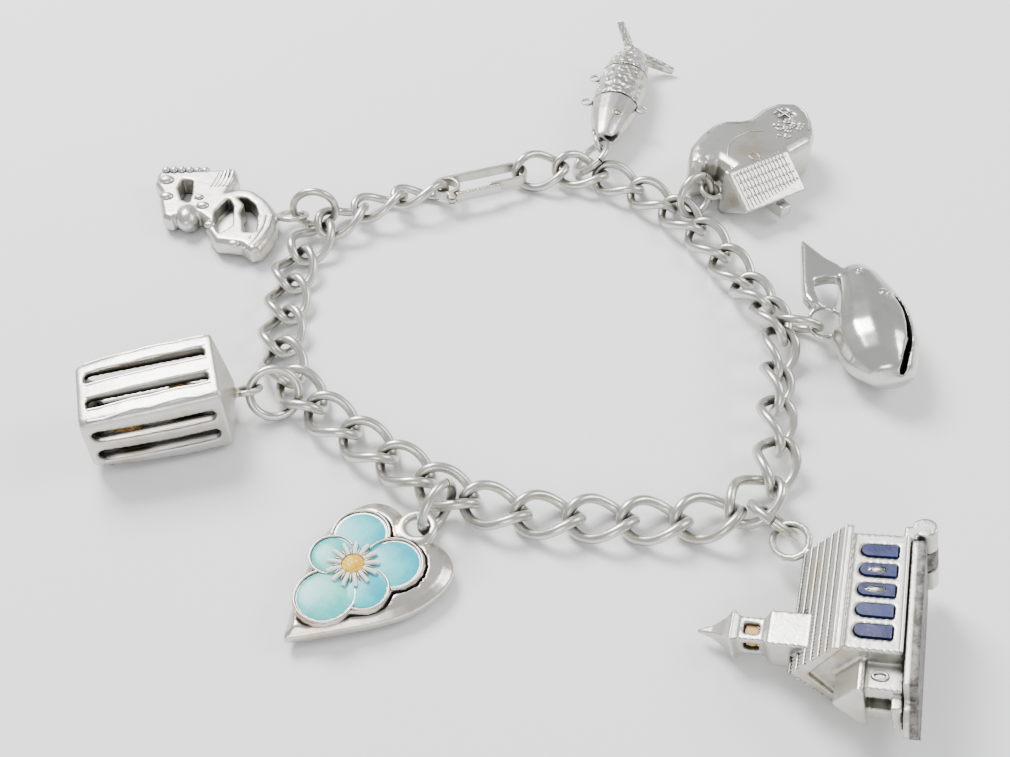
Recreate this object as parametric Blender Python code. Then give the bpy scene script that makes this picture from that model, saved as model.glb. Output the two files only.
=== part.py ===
# Silver charm bracelet: a curb chain closed by a fold-over clasp, with seven charms on jump rings,
# lying on a table. Lengths in metres, +Z up, the table at z = 0, the wrist opening in the middle.
import math

import bmesh
import bpy
from mathutils import Matrix, Vector, kdtree

for thing in list(bpy.data.objects):
    bpy.data.objects.remove(thing, do_unlink=True)

# The chain: curb links of round wire, their two ends turned against each other.
LINK_COUNT = 32
LINK_LENGTH = 0.00779
LINK_WIDTH = 0.0056
LINK_WIRE = 0.00106
LINK_TWIST = math.radians(-48)
CHAIN_PLAY = 0.00034
LINK_STATIONS = 14

# The chain's way round the table, from one end of the clasp to the other: a few chosen points (x, y).
CHAIN_ROUTE = [
    (-0.0084, 0.0313), (-0.0170, 0.0284), (-0.0236, 0.0231), (-0.0257, 0.0165), (-0.0256, 0.0085),
    (-0.0254, 0.0015), (-0.0221, -0.0041), (-0.0137, -0.0114), (-0.0062, -0.0171), (0.0008, -0.0197),
    (0.0115, -0.0206), (0.0206, -0.0207), (0.0259, -0.0185), (0.0284, -0.0130), (0.0294, -0.0040),
    (0.0312, 0.0045), (0.0290, 0.0135), (0.0240, 0.0243), (0.0180, 0.0315), (0.0112, 0.0356),
    (0.0022, 0.0350),
]

# How far a link has rolled over about its own length, in degrees; the others lie flat.
LINK_ROLL = {
    0: 30, 1: 17, 2: 6, 17: 5, 18: 14, 19: 28, 20: 45, 21: 58, 22: 44, 23: 28, 24: 14, 29: -5, 30: -16, 31: -30}

# The clasp: a strap standing on its edge, a closed eye, an open hook and a lever over the hook's end.
CLASP_SPAN = 0.0118
EYE_PLAY = 0.00040
CLASP_HEIGHT = 0.0013
CLASP_WALL = 0.00045
CLASP_BORE = 0.00132
HOOK_LENGTH = 0.0052
LEVER_LAP = 0.0013
LEVER_THICK = 0.0005
PIN_RADIUS = 0.00025
EAR_SHARE = 0.22

# Jump rings, the charms' own loops, and the clearances.
RING_OUTER = 0.0062
RING_WIRE = 0.00095
RING_STATIONS = 12
LOOP_OUTER = 0.0034
LOOP_WIRE = 0.00080
LONG_LOOP_OUTER = 0.0044
PLAY = 0.00013
FIT = 0.00010
WELD = 0.000001

# The heart with the enamelled flower.
HEART_LENGTH = 0.0176
HEART_WIDTH = 0.0134
HEART_THICK = 0.0026
HEART_LUG = 0.0020
HEART_LUG_BORE = 0.0012
HEART_LUG_THICK = 0.0008
HEART_START = 0.0009
FLOWER_RADIUS = 0.0071
FLOWER_BED = 0.0005
ENAMEL_THICK = 0.0006
FLOWER_EYE = 0.0024

# The slatted crate and the nuggets in it.
CRATE_LENGTH = 0.0142
CRATE_WIDTH = 0.0096
CRATE_HEIGHT = 0.0080
CRATE_WALL = 0.0009
CRATE_SLOT = 0.0010
CRATE_CORNER = 0.0008
CRATE_END = 0.0014
CRATE_FOOT = 0.0014
NUGGET = 0.0040

# The church with its hinged base.
NAVE_LENGTH = 0.0124
NAVE_WIDTH = 0.0082
NAVE_WALL_HEIGHT = 0.0053
NAVE_RISE = 0.0036
NAVE_SHELL = 0.0009
NAVE_TIP = math.radians(15)
EAVE = 0.0005
ROOF_THICK = 0.0006
TOWER_WIDTH = 0.0036
TOWER_HEIGHT = 0.0034
BELFRY_WIDTH = 0.0025
BELFRY_HEIGHT = 0.0028
SPIRE_WIDTH = 0.0034
SPIRE_HEIGHT = 0.0034
PORCH_LENGTH = 0.0026
PORCH_WIDTH = 0.0046
PORCH_HEIGHT = 0.0036
STEP_HEIGHT = 0.0009
WINDOW_COUNT = 5
WINDOW_HEIGHT = 0.0031
WINDOW_WIDTH = 0.0012
WINDOW_DEPTH = 0.0004
BASE_THICK = 0.0013
BASE_LIP = 0.0022
BARREL_RADIUS = 0.0011
BARREL_PIN = 0.0004

# The whale, the shoe house, the fish and the openwork casting.
WHALE_LENGTH = 0.0184
WHALE_WIDTH = 0.0094
WHALE_THICK = 0.0074
FLUKE_THICK = 0.0016
MOUTH_GAP = 0.0006
SHOE_LENGTH = 0.0196
SHOE_THICK = 0.0064
SHOE_ROUNDING = 0.0012
SHOE_ROOF_LENGTH = 0.0096
SHOE_ROOF_RISE = 0.0046
CHIMNEY_WIDTH = 0.0016
PANE = 0.0009
FISH_LENGTH = 0.0220
FISH_WIDTH = 0.0068
FISH_THICK = 0.0054
FIN_THICK = 0.0010
CASTING_LENGTH = 0.0168
CASTING_THICK = 0.0026
CASTING_ROUNDING = 0.0005

TAU = 2 * math.pi

bracelet = bpy.data.collections.new("charm_bracelet")
cutters = bpy.data.collections.new("cutters")
bpy.context.scene.collection.children.link(bracelet)
bpy.context.scene.collection.children.link(cutters)


# Materials
def surface(name, colour, roughness, metallic=1.0):
    material = bpy.data.materials.new(name)
    material.use_nodes = True
    shader = material.node_tree.nodes["Principled BSDF"]
    shader.inputs["Base Color"].default_value = (*colour, 1.0)
    shader.inputs["Roughness"].default_value = roughness
    shader.inputs["Metallic"].default_value = metallic
    return material


chain_silver = surface("chain_silver", (0.80, 0.79, 0.73), 0.32)
clasp_silver = surface("clasp_silver", (0.78, 0.77, 0.71), 0.34)
heart_silver = surface("heart_silver", (0.80, 0.78, 0.71), 0.30)
crate_silver = surface("crate_silver", (0.78, 0.78, 0.72), 0.42)
church_silver = surface("church_silver", (0.80, 0.79, 0.72), 0.36)
base_silver = surface("base_silver", (0.42, 0.42, 0.40), 0.50)
whale_silver = surface("whale_silver", (0.80, 0.80, 0.75), 0.28)
shoe_silver = surface("shoe_silver", (0.76, 0.76, 0.71), 0.38)
fish_silver = surface("fish_silver", (0.76, 0.77, 0.74), 0.30)
casting_silver = surface("casting_silver", (0.76, 0.75, 0.69), 0.40)
nugget_gold = surface("nugget_gold", (0.62, 0.42, 0.14), 0.38)
flower_blue = surface("flower_blue", (0.30, 0.78, 0.76), 0.22, 0.0)
flower_yellow = surface("flower_yellow", (0.90, 0.72, 0.20), 0.30, 0.0)
window_blue = surface("window_blue", (0.03, 0.06, 0.32), 0.18, 0.0)


# Modelling tools
def add(name, mesh, material, place=None, collection=bracelet):
    """Put a mesh in the scene as a named object with its material, at a place."""
    thing = bpy.data.objects.new(name, mesh)
    mesh.materials.clear()
    mesh.materials.append(material)
    collection.objects.link(thing)
    if place is not None:
        thing.matrix_world = place
    return thing


def smooth(mesh, angle=40):
    mesh.shade_smooth()
    mesh.set_sharp_from_angle(angle=math.radians(angle))
    return mesh


def shifted(mesh, x=0.0, y=0.0, z=0.0):
    mesh.transform(Matrix.Translation((x, y, z)))
    return mesh


def curve_mesh(curve):
    """A curve made into a mesh, its loose caps welded on."""
    holder = bpy.data.objects.new("curve", curve)
    cutters.objects.link(holder)
    bpy.context.view_layer.update()
    mesh = bpy.data.meshes.new_from_object(holder.evaluated_get(bpy.context.evaluated_depsgraph_get()))
    bpy.data.objects.remove(holder, do_unlink=True)
    bm = bmesh.new()
    bm.from_mesh(mesh)
    bmesh.ops.remove_doubles(bm, verts=bm.verts, dist=WELD)
    bm.to_mesh(mesh)
    bm.free()
    return mesh


def add_spline(curve, points):
    spline = curve.splines.new("POLY")
    spline.points.add(len(points) - 1)
    for spot, point in zip(spline.points, points):
        spot.co = (*point, 1.0) if len(point) == 3 else (*point, 0.0, 1.0)
    spline.use_cyclic_u = True


def wire_loop(points, wire):
    """Round wire bent along a closed run of points."""
    curve = bpy.data.curves.new("wire", "CURVE")
    curve.dimensions = "3D"
    curve.bevel_depth = wire / 2
    curve.bevel_resolution = 1
    add_spline(curve, points)
    return curve_mesh(curve)


def plate(outlines, low, high, rounding=0.0, steps=0):
    """A flat outline, with holes if more outlines follow, raised from low to high."""
    curve = bpy.data.curves.new("plate", "CURVE")
    curve.dimensions = "2D"
    curve.fill_mode = "BOTH"
    curve.extrude = (high - low) / 2 - rounding
    curve.bevel_depth = rounding
    curve.bevel_resolution = steps
    curve.offset = -rounding
    for outline in outlines:
        add_spline(curve, outline)
    return shifted(curve_mesh(curve), z=(low + high) / 2)


def block(size, centre):
    bm = bmesh.new()
    bmesh.ops.create_cube(bm, size=1.0, matrix=Matrix.LocRotScale(centre, None, size))
    return mesh_of(bm)


def rod(radius, length, centre, turn=None, sides=12):
    """A cylinder along z, or turned by a rotation."""
    place = Matrix.LocRotScale(Vector(centre), turn, None)
    bm = bmesh.new()
    bmesh.ops.create_cone(
        bm, cap_ends=True, segments=sides, radius1=radius, radius2=radius, depth=length, matrix=place)
    return mesh_of(bm)


def ball(size, centre, cuts=2):
    bm = bmesh.new()
    bmesh.ops.create_icosphere(bm, subdivisions=cuts, radius=0.5, matrix=Matrix.LocRotScale(centre, None, size))
    return mesh_of(bm)


def hoop(outer, wire, stations=RING_STATIONS, sides=6):
    """A round ring of wire lying flat round the origin."""
    bpy.ops.mesh.primitive_torus_add(
        major_segments=stations, minor_segments=sides, major_radius=(outer - wire) / 2, minor_radius=wire / 2)
    holder = bpy.context.object
    mesh = holder.data
    bpy.data.objects.remove(holder, do_unlink=True)
    return mesh


def mesh_of(bm):
    mesh = bpy.data.meshes.new("shape")
    bm.to_mesh(mesh)
    bm.free()
    return mesh


def loft(sections):
    """A closed skin through unlike sections of the same number of points, capped at both ends."""
    bm = bmesh.new()
    rows = [[bm.verts.new(point) for point in section] for section in sections]
    count = len(rows[0])
    for low, high in zip(rows, rows[1:]):
        for i in range(count):
            j = (i + 1) % count
            bm.faces.new((low[i], low[j], high[j], high[i]))
    bm.faces.new(rows[0])
    bm.faces.new(rows[-1])
    bmesh.ops.recalc_face_normals(bm, faces=bm.faces)
    return mesh_of(bm)


def combine(base, others, operation):
    """Join to a mesh, or cut from it, each of the others in turn."""
    holder = add("working", base, chain_silver, collection=cutters)
    for other in others:
        tool = add("tool", other, chain_silver, collection=cutters)
        modifier = holder.modifiers.new("combine", "BOOLEAN")
        modifier.operation = operation
        modifier.object = tool
        bpy.context.view_layer.update()
        result = bpy.data.meshes.new_from_object(holder.evaluated_get(bpy.context.evaluated_depsgraph_get()))
        holder.modifiers.clear()
        holder.data = result
        bpy.data.objects.remove(tool, do_unlink=True)
    mesh = holder.data
    bpy.data.objects.remove(holder, do_unlink=True)
    return mesh


def joined(meshes):
    return combine(meshes[0], meshes[1:], "UNION")


def cut(mesh, tools):
    return combine(mesh, tools, "DIFFERENCE")


def arc(centre, radius, start, end, steps):
    """Points along an arc, from a start angle to an end angle in degrees."""
    turns = [math.radians(start + (end - start) * k / steps) for k in range(steps + 1)]
    return [(centre[0] + radius * math.cos(a), centre[1] + radius * math.sin(a)) for a in turns]


def curve_through(points, steps, closed=True):
    """A smooth run through points: a Catmull-Rom curve, closed or with its two ends kept."""
    count = len(points)
    spans = count if closed else count - 1
    run = []
    for i in range(spans):
        near = [i + k - 1 for k in range(4)]
        near = [k % count if closed else min(max(k, 0), count - 1) for k in near]
        p0, p1, p2, p3 = (Vector(points[k]) for k in near)
        for s in range(steps):
            t = s / steps
            run.append((2 * p1 + (p2 - p0) * t + (2 * p0 - 5 * p1 + 4 * p2 - p3) * t * t
                        + (3 * p1 - p0 - 3 * p2 + p3) * t ** 3) / 2)
    return run if closed else run + [Vector(points[-1])]


def shares(table, length):
    """A table of shares of a length, as lengths."""
    return [(a * length, b * length) for a, b in table]


# The chain's run: equal steps of one pitch along the route, which is stretched until it just closes.
PITCH = LINK_LENGTH - 2 * LINK_WIRE - CHAIN_PLAY
HALF_LENGTH = (LINK_LENGTH - LINK_WIRE) / 2
HALF_WIDTH = (LINK_WIDTH - LINK_WIRE) / 2


def walk(run, stretch):
    """The joints between links along the stretched run, or nothing where the run is too short."""
    run = [point * stretch for point in run]
    joints = [run[0]]
    i = 0
    for _ in range(LINK_COUNT):
        here = joints[-1]
        while i + 1 < len(run) and (run[i + 1] - here).length < PITCH:
            i += 1
        if i + 1 >= len(run):
            return None
        near, far = 0.0, 1.0
        for _ in range(30):
            middle = (near + far) / 2
            if (run[i].lerp(run[i + 1], middle) - here).length < PITCH:
                near = middle
            else:
                far = middle
        joints.append(run[i].lerp(run[i + 1], far))
    return joints


def fitted_joints():
    """Stretch the route until the chain's two ends stand one clasp apart."""
    run = curve_through(CHAIN_ROUTE, 16)
    low, high = 0.3, 3.0
    for _ in range(40):
        stretch = (low + high) / 2
        joints = walk(run, stretch)
        if joints is None or (joints[-1] - joints[0]).length < CLASP_SPAN - 2 * EYE_PLAY:
            low = stretch
        else:
            high = stretch
    return walk(run, high)


def link_centreline(stations):
    """The bent oval of one link about its middle, x along the chain."""
    points = []
    for k in range(stations):
        points.append(link_point(TAU * k / stations))
    return points


def link_point(t):
    out, turn = HALF_WIDTH * math.sin(t), LINK_TWIST * math.cos(t)
    return Vector((HALF_LENGTH * math.cos(t), out * math.cos(turn), out * math.sin(turn)))


def link_place(start, end, roll):
    """A link's place between two joints, rolled over about its own length."""
    along = (end - start).normalized()
    across = Vector((0, 0, 1)).cross(along).normalized()
    turn = Matrix.Rotation(roll, 3, along)
    across, up = turn @ across, turn @ along.cross(across)
    place = Matrix((along, across, up)).transposed().to_4x4()
    place.translation = (start + end) / 2
    return place


def link_places():
    """Every link's place, each as low as the table lets it lie."""
    joints = [point.to_3d() for point in fitted_joints()]
    rolls = [math.radians(LINK_ROLL.get(i, 0)) for i in range(LINK_COUNT)]
    shape = link_centreline(2 * LINK_STATIONS)
    for point in joints:
        point.z = LINK_WIDTH / 4
    for _ in range(40):
        for i, roll in enumerate(rolls):
            place = link_place(joints[i], joints[i + 1], roll)
            clear = RING_WIRE + PLAY if i in RINGED_LINKS else 0.0
            side = (place @ link_point(-TAU / 4)).z - LINK_WIRE / 2 - clear
            lowest = min((place @ point).z for point in shape) - LINK_WIRE / 2
            sink = -min(lowest, side)
            if sink > 0:
                joints[i].z += sink / 2
                joints[i + 1].z += sink / 2
    return joints, [link_place(joints[i], joints[i + 1], roll) for i, roll in enumerate(rolls)]


# Which link carries each charm.
CASTING_LINK = 2
CRATE_LINK = 8
HEART_LINK = 12
CHURCH_LINK = 18
WHALE_LINK = 23
SHOE_LINK = 27
FISH_LINK = 30
RINGED_LINKS = {CASTING_LINK, CRATE_LINK, HEART_LINK, CHURCH_LINK, WHALE_LINK, SHOE_LINK, FISH_LINK}

joints, places = link_places()
link_shape = smooth(wire_loop(link_centreline(LINK_STATIONS), LINK_WIRE))
for i, place in enumerate(places):
    add(f"chain_link_{i + 1:02d}", link_shape, chain_silver, place)


# The clasp, x from its eye to its hook, y away from the lever.
CLASP_OUTER = CLASP_BORE + CLASP_WALL
EAR_RADIUS = 2 * PIN_RADIUS
LEVER_X = CLASP_BORE
LEVER_Y = -(CLASP_OUTER + FIT + EAR_RADIUS)
EAR_THICK = CLASP_HEIGHT * EAR_SHARE


def clasp_body():
    """The closed eye, the back leaf and the hook, which folds back on the lever's side."""
    far = (CLASP_SPAN - CLASP_BORE, 0)
    eye = (CLASP_BORE, 0)
    free_end = CLASP_SPAN - HOOK_LENGTH
    meet = math.degrees(math.asin(CLASP_BORE / CLASP_OUTER))
    outline = arc(eye, CLASP_OUTER, meet, -270, 14) + arc(far, CLASP_OUTER, 90, -90, 7)
    outline += [(free_end, -CLASP_OUTER), (free_end, -CLASP_BORE)] + arc(far, CLASP_BORE, -90, 90, 7)
    half = CLASP_HEIGHT / 2
    hole = arc(eye, CLASP_BORE, 0, 360, 16)[:-1]
    body = plate([outline, hole], -half, half)
    reach = abs(LEVER_Y) - CLASP_BORE - CLASP_WALL / 2
    pieces = [rod(PIN_RADIUS, CLASP_HEIGHT * 0.9, (LEVER_X, LEVER_Y, 0), sides=10)]
    for side in (-1, 1):
        level = side * (half * 0.97 - EAR_THICK / 2)
        pieces.append(block((1.7 * EAR_RADIUS, reach, EAR_THICK * 0.98), (LEVER_X, LEVER_Y + reach / 2, level)))
        pieces.append(rod(EAR_RADIUS, EAR_THICK, (LEVER_X, LEVER_Y, level), sides=10))
    return joined([body] + pieces)


def clasp_lever():
    """The lever round its pin, lying along the strap and over the hook's free end."""
    barrel_height = CLASP_HEIGHT * 0.97 - 2 * (EAR_THICK + FIT)
    start = EAR_RADIUS + FIT
    tip = CLASP_SPAN - HOOK_LENGTH + LEVER_LAP - LEVER_X
    face = -(CLASP_OUTER + FIT) - LEVER_Y
    leaf = block((tip - start, LEVER_THICK, CLASP_HEIGHT), ((tip + start) / 2, face - LEVER_THICK / 2, 0))
    root = block((2 * start, LEVER_THICK, barrel_height), (start, face - LEVER_THICK / 2, 0))
    knuckle = rod(EAR_RADIUS, barrel_height, (0, 0, 0), sides=12)
    bore = rod(PIN_RADIUS + FIT, CLASP_HEIGHT, (0, 0, 0), sides=12)
    return cut(joined([leaf, root, knuckle]), [bore])


def clasp():
    along = (joints[-1] - joints[0]).normalized()
    across = Vector((0, 0, 1)).cross(along).normalized()
    place = Matrix((along, across, along.cross(across))).transposed().to_4x4()
    place.translation = joints[0] - along * EYE_PLAY
    add("clasp_body", smooth(clasp_body(), 30), clasp_silver, place)
    add("clasp_lever", smooth(clasp_lever(), 30), clasp_silver, place @ Matrix.Translation((LEVER_X, LEVER_Y, 0)))


clasp()

# A jump ring leans against its link with its foot on the table; a charm's loop hangs in the ring.
LOOP_RADIUS = (LOOP_OUTER - LOOP_WIRE) / 2
LONG_LOOP_RADIUS = (LONG_LOOP_OUTER - LOOP_WIRE) / 2


def circle(centre, radius, one, two, stations=60):
    turns = [TAU * k / stations for k in range(stations)]
    return [centre + radius * (math.cos(a) * one + math.sin(a) * two) for a in turns]


def apart(points, others):
    """The nearest distance between two runs of points, one of them looked up in a tree."""
    tree = kdtree.KDTree(len(others))
    for k, point in enumerate(others):
        tree.insert(point, k)
    tree.balance()
    return min(tree.find(point)[2] for point in points)


def threads(centre, radius, axis, points):
    """Whether a closed run of points passes once through the disc inside a ring."""
    crossings = 0
    for start, end in zip(points, points[1:] + points[:1]):
        below, above = (start - centre).dot(axis), (end - centre).dot(axis)
        if (below < 0) != (above < 0):
            if (start.lerp(end, below / (below - above)) - centre).length < radius:
                crossings += 1 if below < 0 else -1
    return abs(crossings) == 1


def slid_out(direction, reach, fits, steps=80):
    """The furthest move along a direction that still fits."""
    for k in range(steps):
        move = direction * reach * (1 - k / steps)
        if fits(move):
            return move
    raise ValueError("nothing fits along this direction")


def turned(degrees):
    return Matrix.Rotation(math.radians(degrees), 3, "Z")


def jump_ring(name, link, station, heading, lean):
    """Hook a leaning jump ring on a link, slid out along a heading until it bears on the link."""
    radius = (RING_OUTER - RING_WIRE) / 2
    side = places[link] @ link_point(math.radians(station - 90))
    outward = turned(heading) @ Vector((1, 0, 0))
    rise = Matrix.Rotation(math.radians(-lean), 3, outward) @ Vector((0, 0, 1))
    height = radius * rise.z + RING_WIRE / 2
    centre = side + rise * ((height - side.z) / rise.z)
    axis = outward.cross(rise)
    near = range(max(link - 3, 0), min(link + 4, LINK_COUNT))
    link_lines = {i: [places[i] @ point for point in link_centreline(90)] for i in near}
    others = [point for line in link_lines.values() for point in line]
    ring_line = circle(centre, radius, outward, rise)

    def fits(move):
        moved = [point + move for point in ring_line]
        clear = apart(moved, others) >= (RING_WIRE + LINK_WIRE) / 2 + PLAY
        return clear and threads(centre + move, radius, axis, link_lines[link])

    centre += slid_out(outward, radius, fits)
    ring = Matrix((outward, rise, axis)).transposed().to_4x4()
    ring.translation = centre
    add(name, smooth(hoop(RING_OUTER, RING_WIRE)), chain_silver, ring)
    return centre, rise, axis, circle(centre, radius, outward, rise)


def charm_loop(lean, outer=LOOP_OUTER):
    """A charm's own loop, from the origin out along x and leaning about it."""
    loop = shifted(hoop(outer, LOOP_WIRE), x=(outer - LOOP_WIRE) / 2)
    loop.transform(Matrix.Rotation(math.radians(-lean), 4, "X"))
    return loop


def hang(pieces, ring, heading, lean, radius=LOOP_RADIUS, wire=LOOP_WIRE):
    """Lay a charm on the table, its loop at its own origin, slid out in its ring until it bears on it."""
    centre, rise, axis, ring_line = ring
    ring_radius = (ring_line[0] - centre).length
    turn = turned(heading)
    ahead = turn @ Vector((1, 0, 0))
    beside = turn @ Matrix.Rotation(math.radians(-lean), 3, "X") @ Vector((0, 1, 0))
    height = -min(v.co.z for _, mesh, _ in pieces for v in mesh.vertices)
    eye = centre + rise * ((height - centre.z) / rise.z)
    loop_line = circle(eye + ahead * radius, radius, ahead, beside)

    def fits(move):
        moved = [point + move for point in loop_line]
        clear = apart(moved, ring_line) >= (RING_WIRE + wire) / 2 + PLAY
        return clear and threads(centre, ring_radius, axis, moved)

    eye += slid_out(ahead, 2 * ring_radius, fits)
    place = turn.to_4x4()
    place.translation = eye
    for name, mesh, material in pieces:
        add(name, smooth(mesh), material, place)
    return place


# The heart: x from the lug to the point; a stepped rim round a low dome, the flower in a sunk bed.
# One side of its edge: along, as a share of the length, and out, as a share of the width.
HEART_SIDE = [
    (0.088, 0.0), (0.050, 0.092), (0.022, 0.211), (0.030, 0.330), (0.080, 0.435), (0.180, 0.495), (0.300, 0.500),
    (0.430, 0.468), (0.580, 0.376), (0.760, 0.224), (0.900, 0.099), (1.0, 0.0)]
# Its levels: height as a share of the thickness, and spread as a share of the edge.
HEART_LEVELS = [(0.0, 0.86), (0.14, 0.96), (0.30, 1.0), (0.62, 1.0), (0.70, 0.95), (0.86, 0.88), (1.0, 0.70)]
HEART_MIDDLE = 0.44 * HEART_LENGTH
# Petals round the flower's centre: angle in degrees, reach and radius as shares of the flower's radius.
PETALS = [(-142, 0.54, 0.41), (138, 0.55, 0.42), (70, 0.42, 0.34), (9, 0.60, 0.42), (-76, 0.36, 0.32)]
FLOWER_AT = (0.47 * HEART_LENGTH, -0.045 * HEART_LENGTH)


def heart_outline():
    half = curve_through(HEART_SIDE, 2, closed=False)
    half = [(x * HEART_LENGTH, y * HEART_WIDTH) for x, y in half]
    return half + [(x, -y) for x, y in half[-2:0:-1]]


def scaled_about(outline, share, centre):
    return [(centre[0] + (x - centre[0]) * share, centre[1] + (y - centre[1]) * share) for x, y in outline]


def flower_outline(grow=0.0, stations=40):
    """The outer edge of five overlapping round petals, seen from the flower's centre."""
    outline = []
    for k in range(stations):
        direction = TAU * k / stations
        reach = 0.3 * FLOWER_RADIUS
        for angle, out, radius in PETALS:
            offset = math.radians(angle) - direction
            along, beside = out * math.cos(offset), out * math.sin(offset)
            if abs(beside) < radius and along + radius > 0:
                reach = max(reach, FLOWER_RADIUS * (along + math.sqrt(radius ** 2 - beside ** 2)))
        reach += grow
        outline.append((FLOWER_AT[0] + reach * math.cos(direction), FLOWER_AT[1] + reach * math.sin(direction)))
    return outline


def heart():
    ring = jump_ring("heart_ring", HEART_LINK, 15, 237.5, 0)
    edge = heart_outline()
    centre = (HEART_MIDDLE, 0.0)
    levels = []
    for height, share in HEART_LEVELS:
        levels.append([(x, y, height * HEART_THICK) for x, y in scaled_about(edge, share, centre)])
    floor = HEART_THICK - FLOWER_BED
    body = cut(loft(levels), [plate([flower_outline(2 * FIT)], floor, HEART_THICK + FLOWER_BED)])
    lug_x = (HEART_LUG + HEART_LUG_BORE) / 2
    low = HEART_THICK - HEART_LUG_THICK
    shifted(body, x=HEART_START)
    body = joined([body, rod(HEART_LUG, HEART_LUG_THICK, (lug_x, 0, low + HEART_LUG_THICK / 2), sides=16)])
    body = cut(body, [rod(HEART_LUG_BORE, HEART_THICK * 4, (lug_x, 0, 0), sides=16)])
    bed = floor + FIT
    well = arc(FLOWER_AT, FLOWER_EYE / 2 + 1.5 * FIT, 0, 360, 14)[:-1]
    flower = plate([flower_outline(), well], bed, bed + ENAMEL_THICK)
    dome = ball((FLOWER_EYE, FLOWER_EYE, 3 * ENAMEL_THICK), (*FLOWER_AT, bed))
    dome = cut(dome, [block((FLOWER_EYE * 2, FLOWER_EYE * 2, HEART_THICK), (*FLOWER_AT, bed - HEART_THICK / 2))])
    shifted(flower, x=HEART_START)
    shifted(dome, x=HEART_START)
    for mesh in (body, flower, dome):
        shifted(mesh, z=-low - HEART_LUG_THICK / 2)
    pieces = [("heart", body, heart_silver), ("heart_flower", flower, flower_blue),
              ("heart_flower_eye", dome, flower_yellow)]
    hang(pieces, ring, 225.5, 0, radius=lug_x, wire=HEART_LUG - HEART_LUG_BORE)


heart()


# The crate: x from its loop to its far end; slats above and at the sides, a peaked end at the loop.
# Sections along it: share of the length, of the width and of the height.
CRATE_SECTIONS = [
    (0.0, 1.0, 1.03), (0.35, 1.03, 1.02), (0.7, 1.0, 0.96), (0.97, 0.94, 0.86), (1.0, 0.90, 0.82)]
SLOTS_ABOVE = (-0.20, 0.18)
SLOTS_BESIDE = (0.16, -0.20)
CRATE_DROP = 0.0010
CRATE_LEAN = -32


def rounded_section(x, half_width, half_height):
    ring = []
    for side, top, start in ((1, 1, 0), (-1, 1, 90), (-1, -1, 180), (1, -1, 270)):
        centre = (side * (half_width - CRATE_CORNER), top * (half_height - CRATE_CORNER))
        ring += [(x, y, z) for y, z in arc(centre, CRATE_CORNER, start, start + 90, 2)]
    return ring


def crate():
    ring = jump_ring("crate_ring", CRATE_LINK, 0, 196, -36)
    start = LOOP_OUTER - LOOP_WIRE + CRATE_END
    middle = start + CRATE_LENGTH / 2
    sections = [[(start - CRATE_END, y * 0.12, z * 0.12) for _, y, z in
                 rounded_section(0, CRATE_WIDTH / 2, CRATE_HEIGHT / 2)]]
    for along, wide, tall in CRATE_SECTIONS:
        place = start + CRATE_LENGTH * along
        sections.append(rounded_section(place, CRATE_WIDTH * wide / 2, CRATE_HEIGHT * tall / 2))
    room = [
        CRATE_LENGTH - 2 * CRATE_WALL, CRATE_WIDTH * 0.94 - 2 * CRATE_WALL, CRATE_HEIGHT * 0.90 - 2 * CRATE_WALL]
    tools = [block(room, (middle, 0, 0))]
    for across in SLOTS_ABOVE:
        tools.append(block((room[0], CRATE_SLOT, CRATE_HEIGHT * 2), (middle, CRATE_WIDTH * across, 0)))
    for up in SLOTS_BESIDE:
        tools.append(block((room[0], CRATE_WIDTH * 2, CRATE_SLOT), (middle, 0, CRATE_HEIGHT * up)))
    body = cut(loft(sections), tools)
    additions = [shifted(charm_loop(CRATE_LEAN), z=-CRATE_DROP)]
    for along in (0.10, 0.88):
        for side in (-1, 1):
            spot = (start + CRATE_LENGTH * along, side * CRATE_WIDTH * 0.36, -CRATE_HEIGHT * 0.47)
            additions.append(ball((CRATE_FOOT, CRATE_FOOT, CRATE_FOOT * 0.8), spot, cuts=1))
    pieces = [("crate", joined([body] + additions), crate_silver)]
    for number, (along, across) in enumerate(((0.30, -0.08), (0.70, 0.08)), start=1):
        spot = (start + CRATE_LENGTH * along, CRATE_WIDTH * across, FIT * 2 - room[2] / 2 + NUGGET * 0.45)
        nugget = ball((NUGGET * 1.2, NUGGET, NUGGET * 0.9), spot, cuts=1)
        pieces.append((f"crate_nugget_{number}", nugget, nugget_gold))
    for _, mesh, _ in pieces:
        shifted(mesh, z=CRATE_DROP)
    hang(pieces, ring, 196, CRATE_LEAN)


crate()

# The church lies on its side: u from its back to its porch, v from its base to its spire, w across.
RIDGE = NAVE_WALL_HEIGHT + NAVE_RISE
ROOF_SLOPE = NAVE_RISE / (NAVE_WIDTH / 2)
TOWER_U = NAVE_LENGTH * 0.76
TOWER_TOP = RIDGE + TOWER_HEIGHT
BARREL_U = -BARREL_RADIUS
BARREL_V = -BARREL_RADIUS
KNUCKLE = NAVE_WIDTH / 3
BASE_START = 0.0006
# The loop meets the church at this place on its back.
CHURCH_LEAN = -24
# The loop's heading and the way that the church's own length points, in degrees.
CHURCH_LOOP_TURN = 300
CHURCH_TURN = 254
CHURCH_LOOP_INSET = 0.0015
CHURCH_LOOP_ROOT = 0.0008
CHURCH_LOOP_REACH = LONG_LOOP_OUTER - LOOP_WIRE
CHURCH_LOOP_SWING = math.radians(CHURCH_LOOP_TURN - CHURCH_TURN)
CHURCH_LOOP_U = CHURCH_LOOP_INSET - CHURCH_LOOP_REACH * math.cos(CHURCH_LOOP_SWING)
CHURCH_LOOP_V = RIDGE + CHURCH_LOOP_REACH * math.sin(CHURCH_LOOP_SWING) - CHURCH_LOOP_ROOT
# The tower and spire: height above the tower's foot as a share of its run, and width.
BELFRY_TOP = TOWER_TOP + BELFRY_HEIGHT
SPIRE_LEVELS = [(0.0, 1.0), (0.22, 0.62), (0.55, 0.30), (1.0, 0.08)]


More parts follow.
